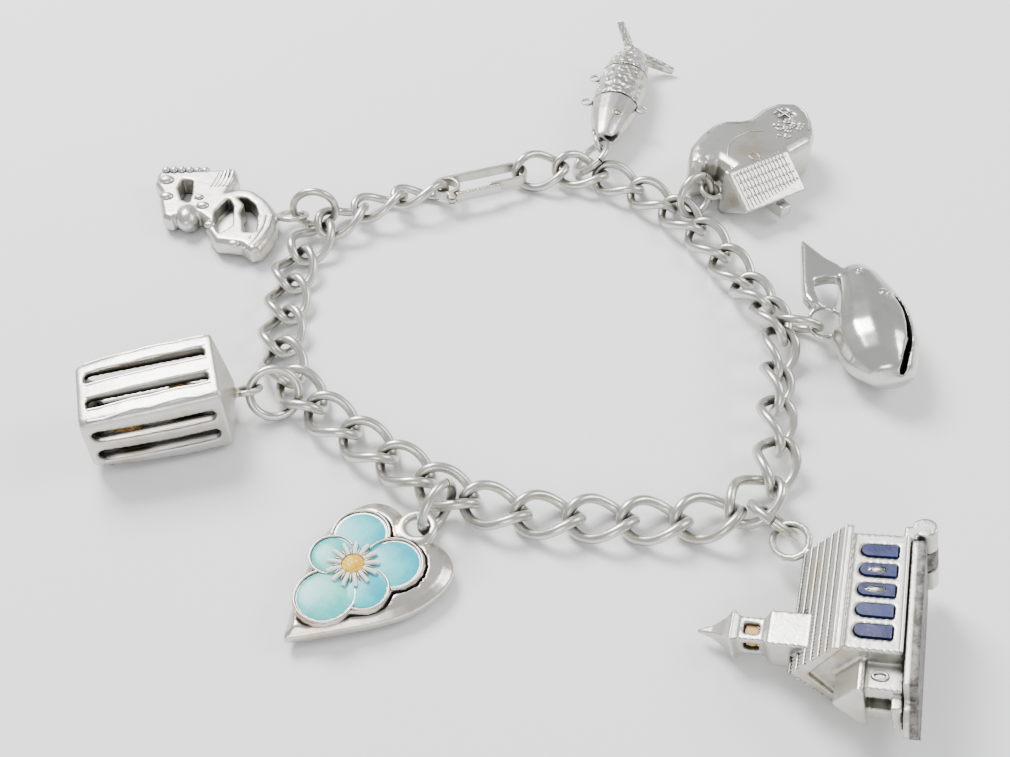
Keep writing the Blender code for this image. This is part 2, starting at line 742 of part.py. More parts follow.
def along_u(outline, start, end):
    """An outline in v and w, drawn out along u."""
    mesh = plate([outline], start, end)
    mesh.transform(Matrix(((0, 0, 1, 0), (1, 0, 0, 0), (0, 1, 0, 0), (0, 0, 0, 1))))
    return mesh


def gable(half, low, eave, slope):
    return [(low, -half), (low, half), (eave, half), (eave + slope * half, 0), (eave, -half)]


def tower():
    levels = [(RIDGE - NAVE_RISE * 0.6, TOWER_WIDTH), (TOWER_TOP - ROOF_THICK, TOWER_WIDTH),
              (TOWER_TOP, BELFRY_WIDTH), (BELFRY_TOP - ROOF_THICK, BELFRY_WIDTH)]
    levels += [(BELFRY_TOP + SPIRE_HEIGHT * up, SPIRE_WIDTH * wide) for up, wide in SPIRE_LEVELS]
    corners = ((-0.5, -0.5), (0.5, -0.5), (0.5, 0.5), (-0.5, 0.5))
    return loft([[(TOWER_U + a * width, v, b * width) for a, b in corners] for v, width in levels])


def window(u, low, high, grow=0.0):
    """A round-headed window, in u and v, between two levels of w."""
    half = WINDOW_WIDTH / 2 + grow
    foot = NAVE_WALL_HEIGHT * 0.20
    head = foot + WINDOW_HEIGHT - WINDOW_WIDTH / 2
    outline = [(u - half, foot - grow), (u + half, foot - grow)] + arc((u, head), half, 0, 180, 6)
    return plate([outline], min(low, high), max(low, high))


def church_base():
    """The base under the church: a plate with a lip for the thumb and the middle knuckle of the hinge."""
    half = NAVE_WIDTH / 2 + EAVE / 2
    end = NAVE_LENGTH + PORCH_LENGTH + EAVE
    lip = NAVE_WIDTH * 0.22
    outline = [(BASE_START, -half), (end, -half)] + [(end + u, w) for u, w in arc((0, 0), lip, -90, 90, 8)]
    outline += [(end, half), (BASE_START, half)]
    outline = [(u if u <= end else end + (u - end) * BASE_LIP / lip, w) for u, w in outline]
    sheet = plate([outline], FIT, BASE_THICK)
    sheet.transform(Matrix.Rotation(TAU / 4, 4, "X"))
    middle = KNUCKLE - 2 * FIT
    barrel = rod(BARREL_RADIUS, middle, (BARREL_U, BARREL_V, 0))
    reach = BASE_START - BARREL_U + BASE_THICK
    bridge = block((reach, BASE_THICK * 0.6, middle), (BARREL_U + reach / 2, -BASE_THICK * 0.6, 0))
    bore = rod(BARREL_PIN + FIT, KNUCKLE * 2, (BARREL_U, BARREL_V, 0))
    return cut(joined([sheet, barrel, bridge]), [bore])


def church():
    ring = jump_ring("church_ring", CHURCH_LINK, 0, 312, -40)
    half = NAVE_WIDTH / 2
    porch_half = PORCH_WIDTH / 2
    porch_end = NAVE_LENGTH + PORCH_LENGTH
    inner = NAVE_SHELL / 2
    rise = ROOF_THICK * math.hypot(1, ROOF_SLOPE)
    low = NAVE_WALL_HEIGHT - ROOF_SLOPE * EAVE
    roof = [(low, -half - EAVE), (RIDGE - rise, 0), (low, half + EAVE), (low + rise, half + EAVE), (RIDGE + rise, 0),
            (low + rise, -half - EAVE)]
    parts = [along_u(gable(half, 0, NAVE_WALL_HEIGHT, ROOF_SLOPE), 0, NAVE_LENGTH),
             along_u(roof, -EAVE, NAVE_LENGTH + EAVE),
             along_u(gable(porch_half, 0, PORCH_HEIGHT, 0.8), NAVE_LENGTH - inner, porch_end),
             along_u(gable(porch_half + EAVE, PORCH_HEIGHT - EAVE, PORCH_HEIGHT, 0.8), NAVE_LENGTH - inner,
                     porch_end + EAVE),
             tower(),
             block((PORCH_LENGTH, STEP_HEIGHT, PORCH_WIDTH * 0.7), (porch_end, STEP_HEIGHT / 2, 0))]
    for side in (-1, 1):
        w = side * KNUCKLE
        parts.append(rod(BARREL_RADIUS, KNUCKLE, (BARREL_U, BARREL_V, w)))
        reach = BASE_START - 2 * FIT - BARREL_U
        parts.append(block((reach, BARREL_RADIUS, KNUCKLE), (BARREL_U + reach / 2, BARREL_RADIUS * 0.1, w)))
    body = joined(parts)
    room = gable(half - NAVE_SHELL, -NAVE_SHELL, NAVE_WALL_HEIGHT - NAVE_SHELL, ROOF_SLOPE)
    tools = [along_u(room, NAVE_SHELL, NAVE_LENGTH - NAVE_SHELL)]
    step = NAVE_LENGTH / (WINDOW_COUNT + 0.8)
    window_us = [step * (k + 0.9) for k in range(WINDOW_COUNT)]
    for u in window_us:
        tools.append(window(u, half - WINDOW_DEPTH, half + EAVE, FIT))
        tools.append(window(u, WINDOW_DEPTH - half, -half - EAVE, FIT))
    arch = BELFRY_HEIGHT * 0.5
    level = TOWER_TOP + BELFRY_HEIGHT * 0.38
    tools.append(block((BELFRY_WIDTH * 0.45, arch, BELFRY_WIDTH * 2), (TOWER_U, level, 0)))
    tools.append(block((BELFRY_WIDTH * 2, arch, BELFRY_WIDTH * 0.45), (TOWER_U, level, 0)))
    door = PORCH_HEIGHT * 0.6
    tools.append(block((PORCH_LENGTH, door, PORCH_WIDTH * 0.4), (porch_end, STEP_HEIGHT + door / 2, 0)))
    pin = rod(BARREL_PIN, NAVE_WIDTH * 0.98, (BARREL_U, BARREL_V, 0), sides=10)
    body = joined([cut(body, tools), pin])
    base = church_base()
    glass = [window(u, WINDOW_DEPTH - FIT - half, -half - FIT) for u in window_us]
    # u, v and w lie along the seat's x, -y and down, tipped over by NAVE_TIP; the loop ends at this place.
    lying = Matrix(((1, 0, 0, 0), (0, -math.cos(NAVE_TIP), math.sin(NAVE_TIP), 0),
                    (0, -math.sin(NAVE_TIP), -math.cos(NAVE_TIP), 0), (0, 0, 0, 1)))
    lying = Matrix.Rotation(math.radians(CHURCH_TURN - CHURCH_LOOP_TURN), 4, "Z") @ lying
    lying = Matrix.Translation((2 * LOOP_RADIUS, 0, 0)) @ lying
    grip = Matrix.Translation((-CHURCH_LOOP_U, -CHURCH_LOOP_V, 0))
    pieces = [(f"church_window_{k + 1}", mesh, window_blue) for k, mesh in enumerate(glass)]
    pieces += [("church", body, church_silver), ("church_base", base, base_silver)]
    for _, mesh, _ in pieces:
        mesh.transform(lying @ grip)
    pieces[-2] = ("church", joined([body, charm_loop(CHURCH_LEAN, LONG_LOOP_OUTER)]), church_silver)
    hinge = lying @ grip @ Vector((BARREL_U, BARREL_V, 0))
    place = hang(pieces, ring, CHURCH_LOOP_TURN, CHURCH_LEAN, radius=LONG_LOOP_RADIUS)
    base.transform(Matrix.Translation(-hinge))
    bpy.data.objects["church_base"].matrix_world = place @ Matrix.Translation(hinge)


church()

# The whale lies across its loop: sections from its chin to its tail stock, as shares of its length:
# way along, middle across, half width; the thickness follows the half width.
WHALE_SECTIONS = [
    (-0.560, 0.335, 0.030), (-0.520, 0.325, 0.140), (-0.410, 0.300, 0.212), (-0.300, 0.302, 0.246),
    (-0.190, 0.300, 0.256), (-0.030, 0.325, 0.236), (0.160, 0.335, 0.184), (0.320, 0.325, 0.138), (0.420, 0.325, 0.084), (0.440, 0.320, 0.040)]
WHALE_TAIL = [
    (0.225, 0.445), (0.150, 0.515), (0.060, 0.660), (0.035, 0.705), (0.020, 0.640), (-0.005, 0.510), (-0.045, 0.300),
    (-0.060, 0.160), (-0.035, 0.095), (0.030, 0.075), (0.020, 0.215), (0.030, 0.300), (0.130, 0.330), (0.260, 0.330)]
WHALE_MOUTH = [(0.480, 0.060), (0.500, -0.100), (0.490, -0.200), (0.460, -0.350), (0.380, -0.540)]
WHALE_DROP = 0.0009
WHALE_LEAN = -32


def whale():
    ring = jump_ring("whale_ring", WHALE_LINK, 0, -13, -36)
    thick_share = WHALE_THICK / WHALE_WIDTH
    sections = []
    for along, middle, half in WHALE_SECTIONS:
        oval = arc((middle * WHALE_LENGTH, 0), half * WHALE_LENGTH, 0, 360, 14)[:-1]
        sections.append([(x, along * WHALE_LENGTH, z * thick_share) for x, z in oval])
    tail = plate([shares(WHALE_TAIL, WHALE_LENGTH)], -FLUKE_THICK / 2, FLUKE_THICK / 2)
    mouth = shares(WHALE_MOUTH, WHALE_LENGTH)
    mouth += [(x - MOUTH_GAP, y) for x, y in reversed(mouth)]
    body = joined([loft(sections), tail])
    body = cut(body, [plate([mouth], -WHALE_THICK * 0.12, WHALE_THICK)])
    shifted(body, x=LONG_LOOP_OUTER - LOOP_OUTER, z=WHALE_DROP)
    body = joined([body, charm_loop(WHALE_LEAN, LONG_LOOP_OUTER)])
    hang([("whale", body, whale_silver)], ring, 2, WHALE_LEAN, radius=LONG_LOOP_RADIUS)


whale()

# The shoe house: a boot lying on its side, x towards its toe, with a gabled roof in its top.
SHOE_EDGE = [
    (-0.060, 0.142), (0.006, 0.220), (0.083, 0.285), (0.210, 0.337), (0.340, 0.366), (0.430, 0.357), (0.508, 0.291),
    (0.585, 0.265), (0.738, 0.298), (0.860, 0.289), (0.960, 0.208), (0.985, 0.157), (0.971, 0.071), (0.918, -0.017),
    (0.832, -0.114), (0.738, -0.171), (0.480, -0.180), (0.250, -0.160), (0.110, -0.110), (0.105, 0.060),
    (0.020, 0.095)]
SHOE_ROOF_AT = (0.036, -0.10)
SHOE_DROP = 0.0005
SHOE_LEAN = -16
SHOE_ROOF_TURN = math.radians(-7)


def shoe_house():
    ring = jump_ring("shoe_house_ring", SHOE_LINK, 15, 37, 12)
    half = SHOE_THICK / 2
    boot = plate([shares(SHOE_EDGE, SHOE_LENGTH)], -half, half, SHOE_ROUNDING, 1)
    slope = SHOE_ROOF_RISE / half
    roof = along_u(gable(half, -SHOE_ROOF_RISE * 0.15, 0, slope), 0, SHOE_ROOF_LENGTH)
    roof.transform(Matrix.Rotation(SHOE_ROOF_TURN, 4, "Z") @ Matrix.Scale(-1, 4, (0, 1, 0)))
    roof.flip_normals()
    shifted(roof, SHOE_ROOF_AT[0] * SHOE_LENGTH, SHOE_ROOF_AT[1] * SHOE_LENGTH)
    chimney = block((CHIMNEY_WIDTH, SHOE_ROOF_RISE * 0.9, CHIMNEY_WIDTH),
                    (SHOE_LENGTH * 0.30, -SHOE_LENGTH * 0.10 - SHOE_ROOF_RISE * 0.9, -half * 0.45))
    laces = []
    for k in range(3):
        spot = (SHOE_LENGTH * (0.01 + 0.05 * k), SHOE_LENGTH * (0.10 + 0.055 * k), half * 0.5)
        laces.append(rod(half * 0.22, half, spot))
    body = joined([boot, roof, chimney] + laces)
    panes = []
    for a in (-0.65, 0.65):
        for b in (-0.65, 0.65):
            spot = (SHOE_LENGTH * 0.80 + a * PANE, SHOE_LENGTH * 0.14 + b * PANE, half)
            panes.append(block((PANE, PANE, PANE), spot))
    body = cut(body, panes)
    body = joined([shifted(body, x=LOOP_WIRE, z=SHOE_DROP), charm_loop(SHOE_LEAN)])
    hang([("shoe_house", body, shoe_silver)], ring, 37, SHOE_LEAN)


shoe_house()

# The fish: head, body and tail are castings one behind the other, x from the mouth to the fin.
# Sections: share of the length, of the width and of the thickness.
FISH_SECTIONS = [
    (0.00, 0.42, 0.46), (0.08, 0.60, 0.70), (0.20, 0.80, 0.88), (0.36, 0.96, 1.00), (0.50, 1.00, 1.00),
    (0.70, 0.98, 0.94), (0.84, 0.84, 0.78), (0.94, 0.64, 0.58), (1.00, 0.42, 0.40)]
FISH_PARTS = (0, 3, 5, 8)
FISH_LEAN = -48
# A fluke as shares of its own length, y out to its tip; the near one lies, the far one stands up.
FLUKE = [(-0.04, -0.10), (-0.04, 0.10), (0.06, 0.40), (0.16, 0.75), (0.26, 1.00), (0.33, 0.98), (0.34, 0.70),
         (0.30, 0.35), (0.24, 0.06), (0.20, -0.10)]
FLUKES = ((0.0066, math.radians(204)), (0.0052, math.radians(62)))


def fish_part(first, last, cap):
    """A run of oval sections; a part that others follow stops short of the next one."""
    sections = []
    for k in range(first, last + 1):
        along, wide, tall = FISH_SECTIONS[k]
        x = along * FISH_LENGTH - (cap if k == last else 0.0)
        oval = arc((0, 0), 1.0, 0, 360, 14)[:-1]
        sections.append([(x, y * wide * FISH_WIDTH / 2, z * tall * FISH_THICK / 2) for y, z in oval])
    return loft(sections)


def fish():
    ring = jump_ring("fish_ring", FISH_LINK, -15, 75.5, -48)
    start = LOOP_OUTER - LOOP_WIRE * 1.4
    pieces = []
    ends = list(zip(("fish_head", "fish_body", "fish_tail"), FISH_PARTS, FISH_PARTS[1:]))
    for name, first, last in ends:
        mesh = fish_part(first, last, 0.0 if last == FISH_PARTS[-1] else 2 * FIT)
        if name == "fish_head":
            mouth = block((FISH_LENGTH * 0.16, FISH_WIDTH, FISH_THICK * 0.14), (0, 0, FISH_THICK * 0.06))
            mesh = cut(mesh, [mouth])
            mesh = joined([shifted(mesh, x=start), charm_loop(FISH_LEAN)])
        else:
            if name == "fish_tail":
                for length, turn in FLUKES:
                    fluke = plate([shares(FLUKE, length)], -FIN_THICK / 2, FIN_THICK / 2)
                    fluke.transform(Matrix.Rotation(turn, 4, "X"))
                    mesh = joined([mesh, shifted(fluke, x=FISH_LENGTH * 0.95)])
            shifted(mesh, x=start)
        pieces.append((name, mesh, fish_silver))
    hang(pieces, ring, 75.5, FISH_LEAN)


fish()

# The openwork casting, hollow side up: an arch, a cup, a panel, a leaf, a knobbed bar and a ball.
# Edges as shares of the length, x away from the loop, y towards the viewer's near side.
CASTING_EDGE = [
    (0.010, 0.020), (0.010, 0.140), (0.050, 0.290), (0.100, 0.400), (0.170, 0.420), (0.250, 0.340), (0.440, 0.300),
    (0.530, 0.150), (0.530, 0.060), (0.600, -0.010), (0.640, 0.050), (0.700, 0.070), (0.750, 0.000), (0.800, 0.040),
    (0.870, 0.000), (0.920, -0.180), (0.930, -0.300), (0.990, -0.400), (0.990, -0.520), (0.960, -0.580),
    (0.840, -0.600), (0.700, -0.560), (0.480, -0.560), (0.370, -0.520), (0.350, -0.420), (0.400, -0.290),
    (0.320, -0.320), (0.220, -0.290), (0.120, -0.190), (0.050, -0.080)]
CASTING_HOLES = [
    [(0.150, 0.210), (0.240, 0.210), (0.260, 0.080), (0.290, -0.010), (0.270, -0.110), (0.340, -0.210),
     (0.260, -0.190), (0.190, -0.110), (0.150, 0.020)],
    [(0.700, -0.420), (0.680, -0.250), (0.690, -0.150), (0.750, -0.180), (0.800, -0.330), (0.780, -0.440)]]
CASTING_LEAN = -24
CASTING_DROP = 0.0007
CASTING_CUP = [
    (0.400, -0.200), (0.350, -0.100), (0.340, 0.020), (0.330, 0.130), (0.420, 0.220), (0.480, 0.100), (0.480, -0.040)]


def casting():
    ring = jump_ring("casting_ring", CASTING_LINK, 30, 182, 0)
    edges = [shares(edge, CASTING_LENGTH) for edge in [CASTING_EDGE] + CASTING_HOLES]
    half = CASTING_THICK / 2
    body = plate([edges[0]], -half, half, CASTING_ROUNDING)
    body = cut(body, [plate([edge], -half * 2, half * 2) for edge in edges[1:]])
    body = cut(body, [plate([shares(CASTING_CUP, CASTING_LENGTH)], -half * 0.3, half * 2)])
    knobs = [ball((0.0030, 0.0040, 0.0030), (CASTING_LENGTH * 0.69, -CASTING_LENGTH * 0.02, half * 0.3)),
             ball((0.0022, 0.0022, 0.0026), (CASTING_LENGTH * 0.43, -CASTING_LENGTH * 0.50, half * 0.5), cuts=1)]
    body = joined([body] + knobs)
    body = shifted(body, x=LONG_LOOP_OUTER - LOOP_WIRE * 1.2, z=-CASTING_DROP)
    body = joined([body, charm_loop(CASTING_LEAN, LONG_LOOP_OUTER)])
    hang([("casting", body, casting_silver)], ring, 182, CASTING_LEAN, radius=LONG_LOOP_RADIUS)


casting()

# The middle of the whole lying bracelet goes to the origin, with its lowest point on the table.
bpy.context.view_layer.update()
corners = [thing.matrix_world @ v.co for thing in bracelet.objects for v in thing.data.vertices]
lows = [min(c[k] for c in corners) for k in range(3)]
highs = [max(c[k] for c in corners) for k in range(3)]
to_origin = Matrix.Translation((-(lows[0] + highs[0]) / 2, -(lows[1] + highs[1]) / 2, -lows[2]))
for thing in bracelet.objects:
    thing.matrix_world = to_origin @ thing.matrix_world
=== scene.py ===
import math

import bpy
import numpy as np
from mathutils import Matrix, Vector


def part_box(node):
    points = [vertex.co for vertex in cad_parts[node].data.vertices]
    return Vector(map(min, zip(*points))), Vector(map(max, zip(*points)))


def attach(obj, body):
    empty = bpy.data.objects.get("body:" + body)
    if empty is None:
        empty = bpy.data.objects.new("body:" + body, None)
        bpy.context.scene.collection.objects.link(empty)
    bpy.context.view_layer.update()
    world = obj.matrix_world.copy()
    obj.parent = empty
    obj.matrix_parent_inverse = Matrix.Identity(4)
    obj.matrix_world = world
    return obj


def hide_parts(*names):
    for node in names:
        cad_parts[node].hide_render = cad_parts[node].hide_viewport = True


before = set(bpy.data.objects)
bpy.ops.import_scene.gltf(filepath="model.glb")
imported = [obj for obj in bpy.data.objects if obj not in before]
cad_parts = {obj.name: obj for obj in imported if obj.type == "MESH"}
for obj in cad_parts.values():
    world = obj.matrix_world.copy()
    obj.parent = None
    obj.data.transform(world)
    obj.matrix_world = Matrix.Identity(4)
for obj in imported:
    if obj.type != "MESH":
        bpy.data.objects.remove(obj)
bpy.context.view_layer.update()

TURN = 2 * math.pi

# Where each charm's loop is held, in metres, and the way the charm points, in degrees.
HEART_AT = ((-0.007758, -0.029405, 0.002200), 225.5)
CRATE_AT = ((-0.026615, -0.012852, 0.003320), 196.0)
CHURCH_AT = ((0.026316, -0.031201, 0.003141), 300.0)
WHALE_AT = ((0.034218, -0.002337, 0.002715), 2.0)
SHOE_AT = ((0.025046, 0.021236, 0.002700), 37.0)
FISH_AT = ((0.012253, 0.029809, 0.003141), 75.5)
CASTING_AT = ((-0.025199, 0.017739, 0.002000), 182.0)

# The camera looks down at the table from this far, with the middle of the bracelet's loop ahead.
MIDDLE = (-0.000321, -0.008425, 0.0)
CAMERA_REACH = 0.13452
CAMERA_TILT = math.radians(47)
CAMERA_LENS = 42.77

# The chain's wire, and the jump rings with the half angle of their open joint in degrees.
LINK_LENGTH = 0.00779
LINK_WIDTH = 0.0056
LINK_WIRE = 0.00106
LINK_TWIST = math.radians(-48)
LINK_POINTS = 60
RING_OUTER = 0.0062
RING_WIRE = 0.00095
RING_GAP = 1.5
RING_POINTS = 57

# The charms' soldered loops, a short kind and a long one.
LOOP_OUTER = 0.0034
LONG_LOOP_OUTER = 0.0044
LOOP_WIRE = 0.0008

# The heart's top face, the middle of the flower and the flower's eye.
HEART_TOP = 0.0004
FLOWER_AT = (0.009172, -0.000792)
FLOWER_RADIUS = 0.0071 * 0.96
FLOWER_EYE = 0.0012
STAMEN_FIELD = 0.0023
OUTLINE_RISE = 0.00026
OUTLINE_WIRE = 0.00030
STAMENS = 26

# Each petal's angle in degrees, its reach and its radius, both as shares of the flower's radius.
PETALS = [(-142, 0.54, 0.41), (138, 0.55, 0.42), (70, 0.42, 0.34), (9, 0.60, 0.42), (-76, 0.36, 0.32)]
MINT_PETALS = (3, 4)

# The crate, from its loop to its far end. The gaps and the ridges are placed by shares of its
# width and height.
CRATE_LENGTH = 0.0142
CRATE_WIDTH = 0.0096
CRATE_HEIGHT = 0.0080
CRATE_END = 0.0014
CRATE_START = LOOP_OUTER - LOOP_WIRE + CRATE_END
CRATE_RAISE = 0.0010
CRATE_GAP = 0.00160
GAP_END = 0.0010
TOP_GAPS = (-0.20, 0.18)
SIDE_GAPS = (0.16, -0.20)
SLAT_RIDGES = (-0.44, -0.30, -0.10, 0.08, 0.28, 0.43)

# The church: its nave, roof and windows, with u from back to porch, v up and w across.
NAVE_LENGTH = 0.0124
NAVE_WIDTH = 0.0082
NAVE_WALL = 0.0053
NAVE_RISE = 0.0036
NAVE_TIP = math.radians(15)
EAVE = 0.0005
ROOF_THICK = 0.0006
ROOF_COURSES = 6
SHINGLES = 36
SHINGLE_SHIFT = 0.00008
PORCH_LENGTH = 0.0026
PORCH_WIDTH = 0.0046
PORCH_HEIGHT = 0.0036
WINDOW_HEIGHT = 0.0031
WINDOW_WIDTH = 0.0012
WINDOW_COUNT = 5
TOWER_U = NAVE_LENGTH * 0.76
TOWER_TOP = NAVE_WALL + NAVE_RISE + 0.0034
BELFRY_HEIGHT = 0.0028
BELFRY_WIDTH = 0.0025
CHURCH_GRIP = (0.0010008, -0.0106893, 0.0)
CHURCH_SWING = math.radians(-46)
CHURCH_START = 0.0026

# The whale, shoe house and casting: where each lies, where it starts past its loop, its length.
WHALE = (WHALE_AT, LONG_LOOP_OUTER - LOOP_OUTER, 0.0184)
SHOE = (SHOE_AT, LOOP_WIRE, 0.0196)
CASTING = (CASTING_AT, LONG_LOOP_OUTER - LOOP_WIRE * 1.2, 0.0168)

# Lines on these charms, as shares of the charm's length, along it and across it.
WHALE_LIP = [(0.455, 0.05), (0.468, -0.10), (0.458, -0.20), (0.430, -0.33), (0.360, -0.47)]
SHOE_EDGE = [(0.25, 0.300), (0.34, 0.325), (0.43, 0.315), (0.51, 0.25), (0.585, 0.225), (0.738, 0.255),
             (0.86, 0.245), (0.94, 0.18), (0.94, 0.08), (0.89, 0.0), (0.80, -0.08)]
SHOE_SEAM = [(0.12, -0.06), (0.17, 0.04), (0.25, 0.11), (0.36, 0.15), (0.47, 0.14), (0.55, 0.09)]
SHOE_THICK = 0.0064
ROOF_RIBS = 15
RIB_DROP = 0.0030
LEAVES = 34

FISH_LENGTH = 0.0220
FISH_WIDTH = 0.0068
FISH_START = LOOP_OUTER - LOOP_WIRE * 1.4

# The clasp's direction, and the step of the beads along its leaf.
CLASP_HEADING = math.radians(19.338)
MILLING_STEP = 0.00046


class Value:
    """A material's number, on which arithmetic adds Math nodes."""

    def __init__(self, finish, socket):
        self.finish = finish
        self.socket = socket

    def math(self, operation, first, second):
        made = self.finish.node("Math", {"operation": operation}, {0: first, 1: second})
        return Value(self.finish, made.outputs[0])

    def __add__(self, other):
        return self.math("ADD", self, other)

    def __sub__(self, other):
        return self.math("SUBTRACT", self, other)

    def __mul__(self, other):
        return self.math("MULTIPLY", self, other)

    def __rsub__(self, other):
        return self.math("SUBTRACT", other, self)

    def __abs__(self):
        return self.math("ABSOLUTE", self, 0.0)

    __radd__ = __add__
    __rmul__ = __mul__


class Finish:
    """A material on one Principled shader, with short ways to add its nodes."""

    def __init__(self, name, surface):
        self.material = bpy.data.materials.new(name)
        self.material.use_nodes = True
        self.tree = self.material.node_tree
        self.shader = self.tree.nodes["Principled BSDF"]
        self.place = self.value(self.node("TexCoord"), "Object")
        self.set(surface)

    def feed(self, socket, value):
        if isinstance(value, Value):
            self.tree.links.new(value.socket, socket)
        else:
            socket.default_value = value

    def node(self, kind, settings=None, sockets=None):
        made = self.tree.nodes.new("ShaderNode" + kind)
        for setting, value in (settings or {}).items():
            setattr(made, setting, value)
        for socket, value in (sockets or {}).items():
            self.feed(made.inputs[socket], value)
        return made

    def value(self, made, socket=0):
        return Value(self, made.outputs[socket])

    def set(self, surface):
        for socket, value in surface.items():
            self.feed(self.shader.inputs[socket], value)

    def noise(self, scale, detail=4.0, roughness=0.6):
        sockets = {"Vector": self.place, "Scale": scale, "Detail": detail, "Roughness": roughness}
        return self.value(self.node("TexNoise", None, sockets))

    def step(self, value, low, high):
        """0 below low, 1 above high and smooth between."""
        settings = {"interpolation_type": "SMOOTHSTEP"}
        sockets = {"Value": value, "From Min": low, "From Max": high}
        return self.value(self.node("MapRange", settings, sockets))

    def along(self, direction, start):
        """How far a point lies past a start, along a direction."""
        made = self.node("VectorMath", {"operation": "DOT_PRODUCT"}, {0: self.place, 1: direction})
        return self.value(made, "Value") - start

    def recess(self, reach):
        """1 deep in a corner and 0 in the open, from ambient occlusion: the mask for painted shade."""
        made = self.node("AmbientOcclusion", {"samples": 8}, {"Distance": reach})
        return 1.0 - self.value(made, "AO")

    def mix(self, share, first, second):
        made = self.node("Mix", {"data_type": "RGBA"}, {0: share, 6: first, 7: second})
        return self.value(made, 2)

    def bump(self, height, depth):
        made = self.node("Bump", None, {"Height": height, "Distance": depth, "Strength": 1.0})
        self.set({"Normal": self.value(made)})


def old_silver(name, light, dark, warm, polish, pitted=0.00002, scales=0.0, inside=None):
    """Worn silver: bright where it rubs, dark in its corners from tarnish and painted shade, with warm stains
    and fine scratches.
    """
    finish = Finish(name, {"Metallic": 1.0})
    stains = finish.step(finish.noise(260), 0.50, 0.72)
    # Tarnish and painted shade: the silver darkens where ambient occlusion finds a corner or recess.
    tarnish_and_painted_shade = finish.step(finish.recess(0.0013), 0.14, 0.62)
    specks = finish.step(finish.noise(1500, 6.0, 0.7), 0.55, 0.75)
    base = finish.mix(stains * 0.65, light, warm)
    base = finish.mix(tarnish_and_painted_shade * 0.92, base, dark)
    base = finish.mix(specks * 0.22, base, dark)
    # Painted shade: where a mask of a hollow is given, the silver there is darkened almost to black.
    if inside:
        base = finish.mix(inside(finish) * 0.94, base, dark)
    stretched = finish.value(finish.node("Mapping", None, {
        "Vector": finish.place, "Scale": (1.0, 7.0, 1.0), "Rotation": (0.3, 0.2, 0.9)}))
    scratches = finish.value(finish.node("TexNoise", None, {
        "Vector": stretched, "Scale": 1700.0, "Detail": 3.0}))
    roughness = polish + tarnish_and_painted_shade * 0.30 + specks * 0.10 + scratches * 0.10
    finish.set({"Base Color": base, "Roughness": roughness})
    height = finish.noise(900, 5.0, 0.62) + scratches * 0.25
    if scales:
        cells = finish.node("TexVoronoi", {"feature": "SMOOTH_F1"}, {"Vector": finish.place, "Scale": scales})
        height = height * 0.25 + finish.value(cells) * 1.6
    finish.bump(height, pitted)
    return finish.material


def enamel(name, deep, pale, worn, gloss=0.27):
    """Glassy enamel, uneven in its colour, with a few dull spots."""
    finish = Finish(name, {"Metallic": 0.0, "Coat Weight": 0.08, "Coat Roughness": 0.15})
    clouds = finish.step(finish.noise(330), 0.38, 0.66)
    spots = finish.step(finish.noise(1600, 5.0, 0.7), 0.64, 0.74)
    # In its recesses the enamel takes the worn colour by ambient occlusion: painted shade where that colour
    # is darker than the enamel, a paler tint where it is lighter.
    recess_tint_and_shade = finish.step(finish.recess(0.0006), 0.20, 0.80)
    base = finish.mix(clouds, deep, pale)
    base = finish.mix(spots * 0.45, base, worn)
    base = finish.mix(recess_tint_and_shade * 0.45, base, worn)
    finish.set({"Base Color": base, "Roughness": gloss + spots * 0.30 + clouds * 0.08})
    finish.bump(finish.noise(700, 3.0), 0.00003)
    return finish.material


def raw_gold(name):
    """Rough native gold, brown in its pits."""
    finish = Finish(name, {"Metallic": 1.0})
    pits = finish.step(finish.noise(900, 6.0, 0.7), 0.40, 0.62)
    base = finish.mix(pits, (0.20, 0.09, 0.02, 1), (0.80, 0.50, 0.14, 1))
    finish.set({"Base Color": base, "Roughness": 0.50 - pits * 0.20})
    finish.bump(pits, 0.00008)
    return finish.material


def base_silver(name, place):
    """The church's base: pale along its upper edge, and from there down rough, in dark grey that is painted
    shade.
    """
    finish = Finish(name, {"Metallic": 1.0})
    up = (place.to_3x3() @ Vector((0, 1, 0))).normalized()
    start = up.dot(place @ Vector((0, -0.00055, 0)))
    # 1 on the pale upper edge and 0 below it, where the silver is painted in shade.
    pale = finish.step(finish.along(up, start), -0.00012, 0.00010)
    rough = finish.noise(1100, 6.0, 0.7)
    # Painted shade: dark grey silver, its tone varied by the noise that also makes the bumps.
    base = finish.mix(finish.step(rough, 0.40, 0.62), (0.10, 0.095, 0.085, 1), (0.26, 0.25, 0.23, 1))
    finish.set({"Base Color": finish.mix(pale, base, BRIGHT), "Roughness": 0.52 - pale * 0.22})
    finish.bump(rough, 0.00012)
    return finish.material


def table_top(name):
    """A pale matt table, a little uneven."""
    finish = Finish(name, {"Roughness": 0.85})
    shade = finish.step(finish.noise(6.0), 0.2, 0.8)
    finish.set({"Base Color": finish.mix(shade, (0.90, 0.90, 0.895, 1), (0.94, 0.94, 0.935, 1))})
    return finish.material


def standing(where):
    """From a charm's own axes to where it lies."""
    spot, heading = where
    return Matrix.Translation(spot) @ Matrix.Rotation(math.radians(heading), 4, "Z")


def church_place():
    """From the church's own u, v and w to where it lies."""
    cos, sin = math.cos(NAVE_TIP), math.sin(NAVE_TIP)
    lying = Matrix(((1, 0, 0, 0), (0, -cos, sin, 0), (0, -sin, -cos, 0), (0, 0, 0, 1)))
    swing = Matrix.Translation((CHURCH_START, 0, 0)) @ Matrix.Rotation(CHURCH_SWING, 4, "Z")
    return standing(CHURCH_AT) @ swing @ lying @ Matrix.Translation(CHURCH_GRIP)


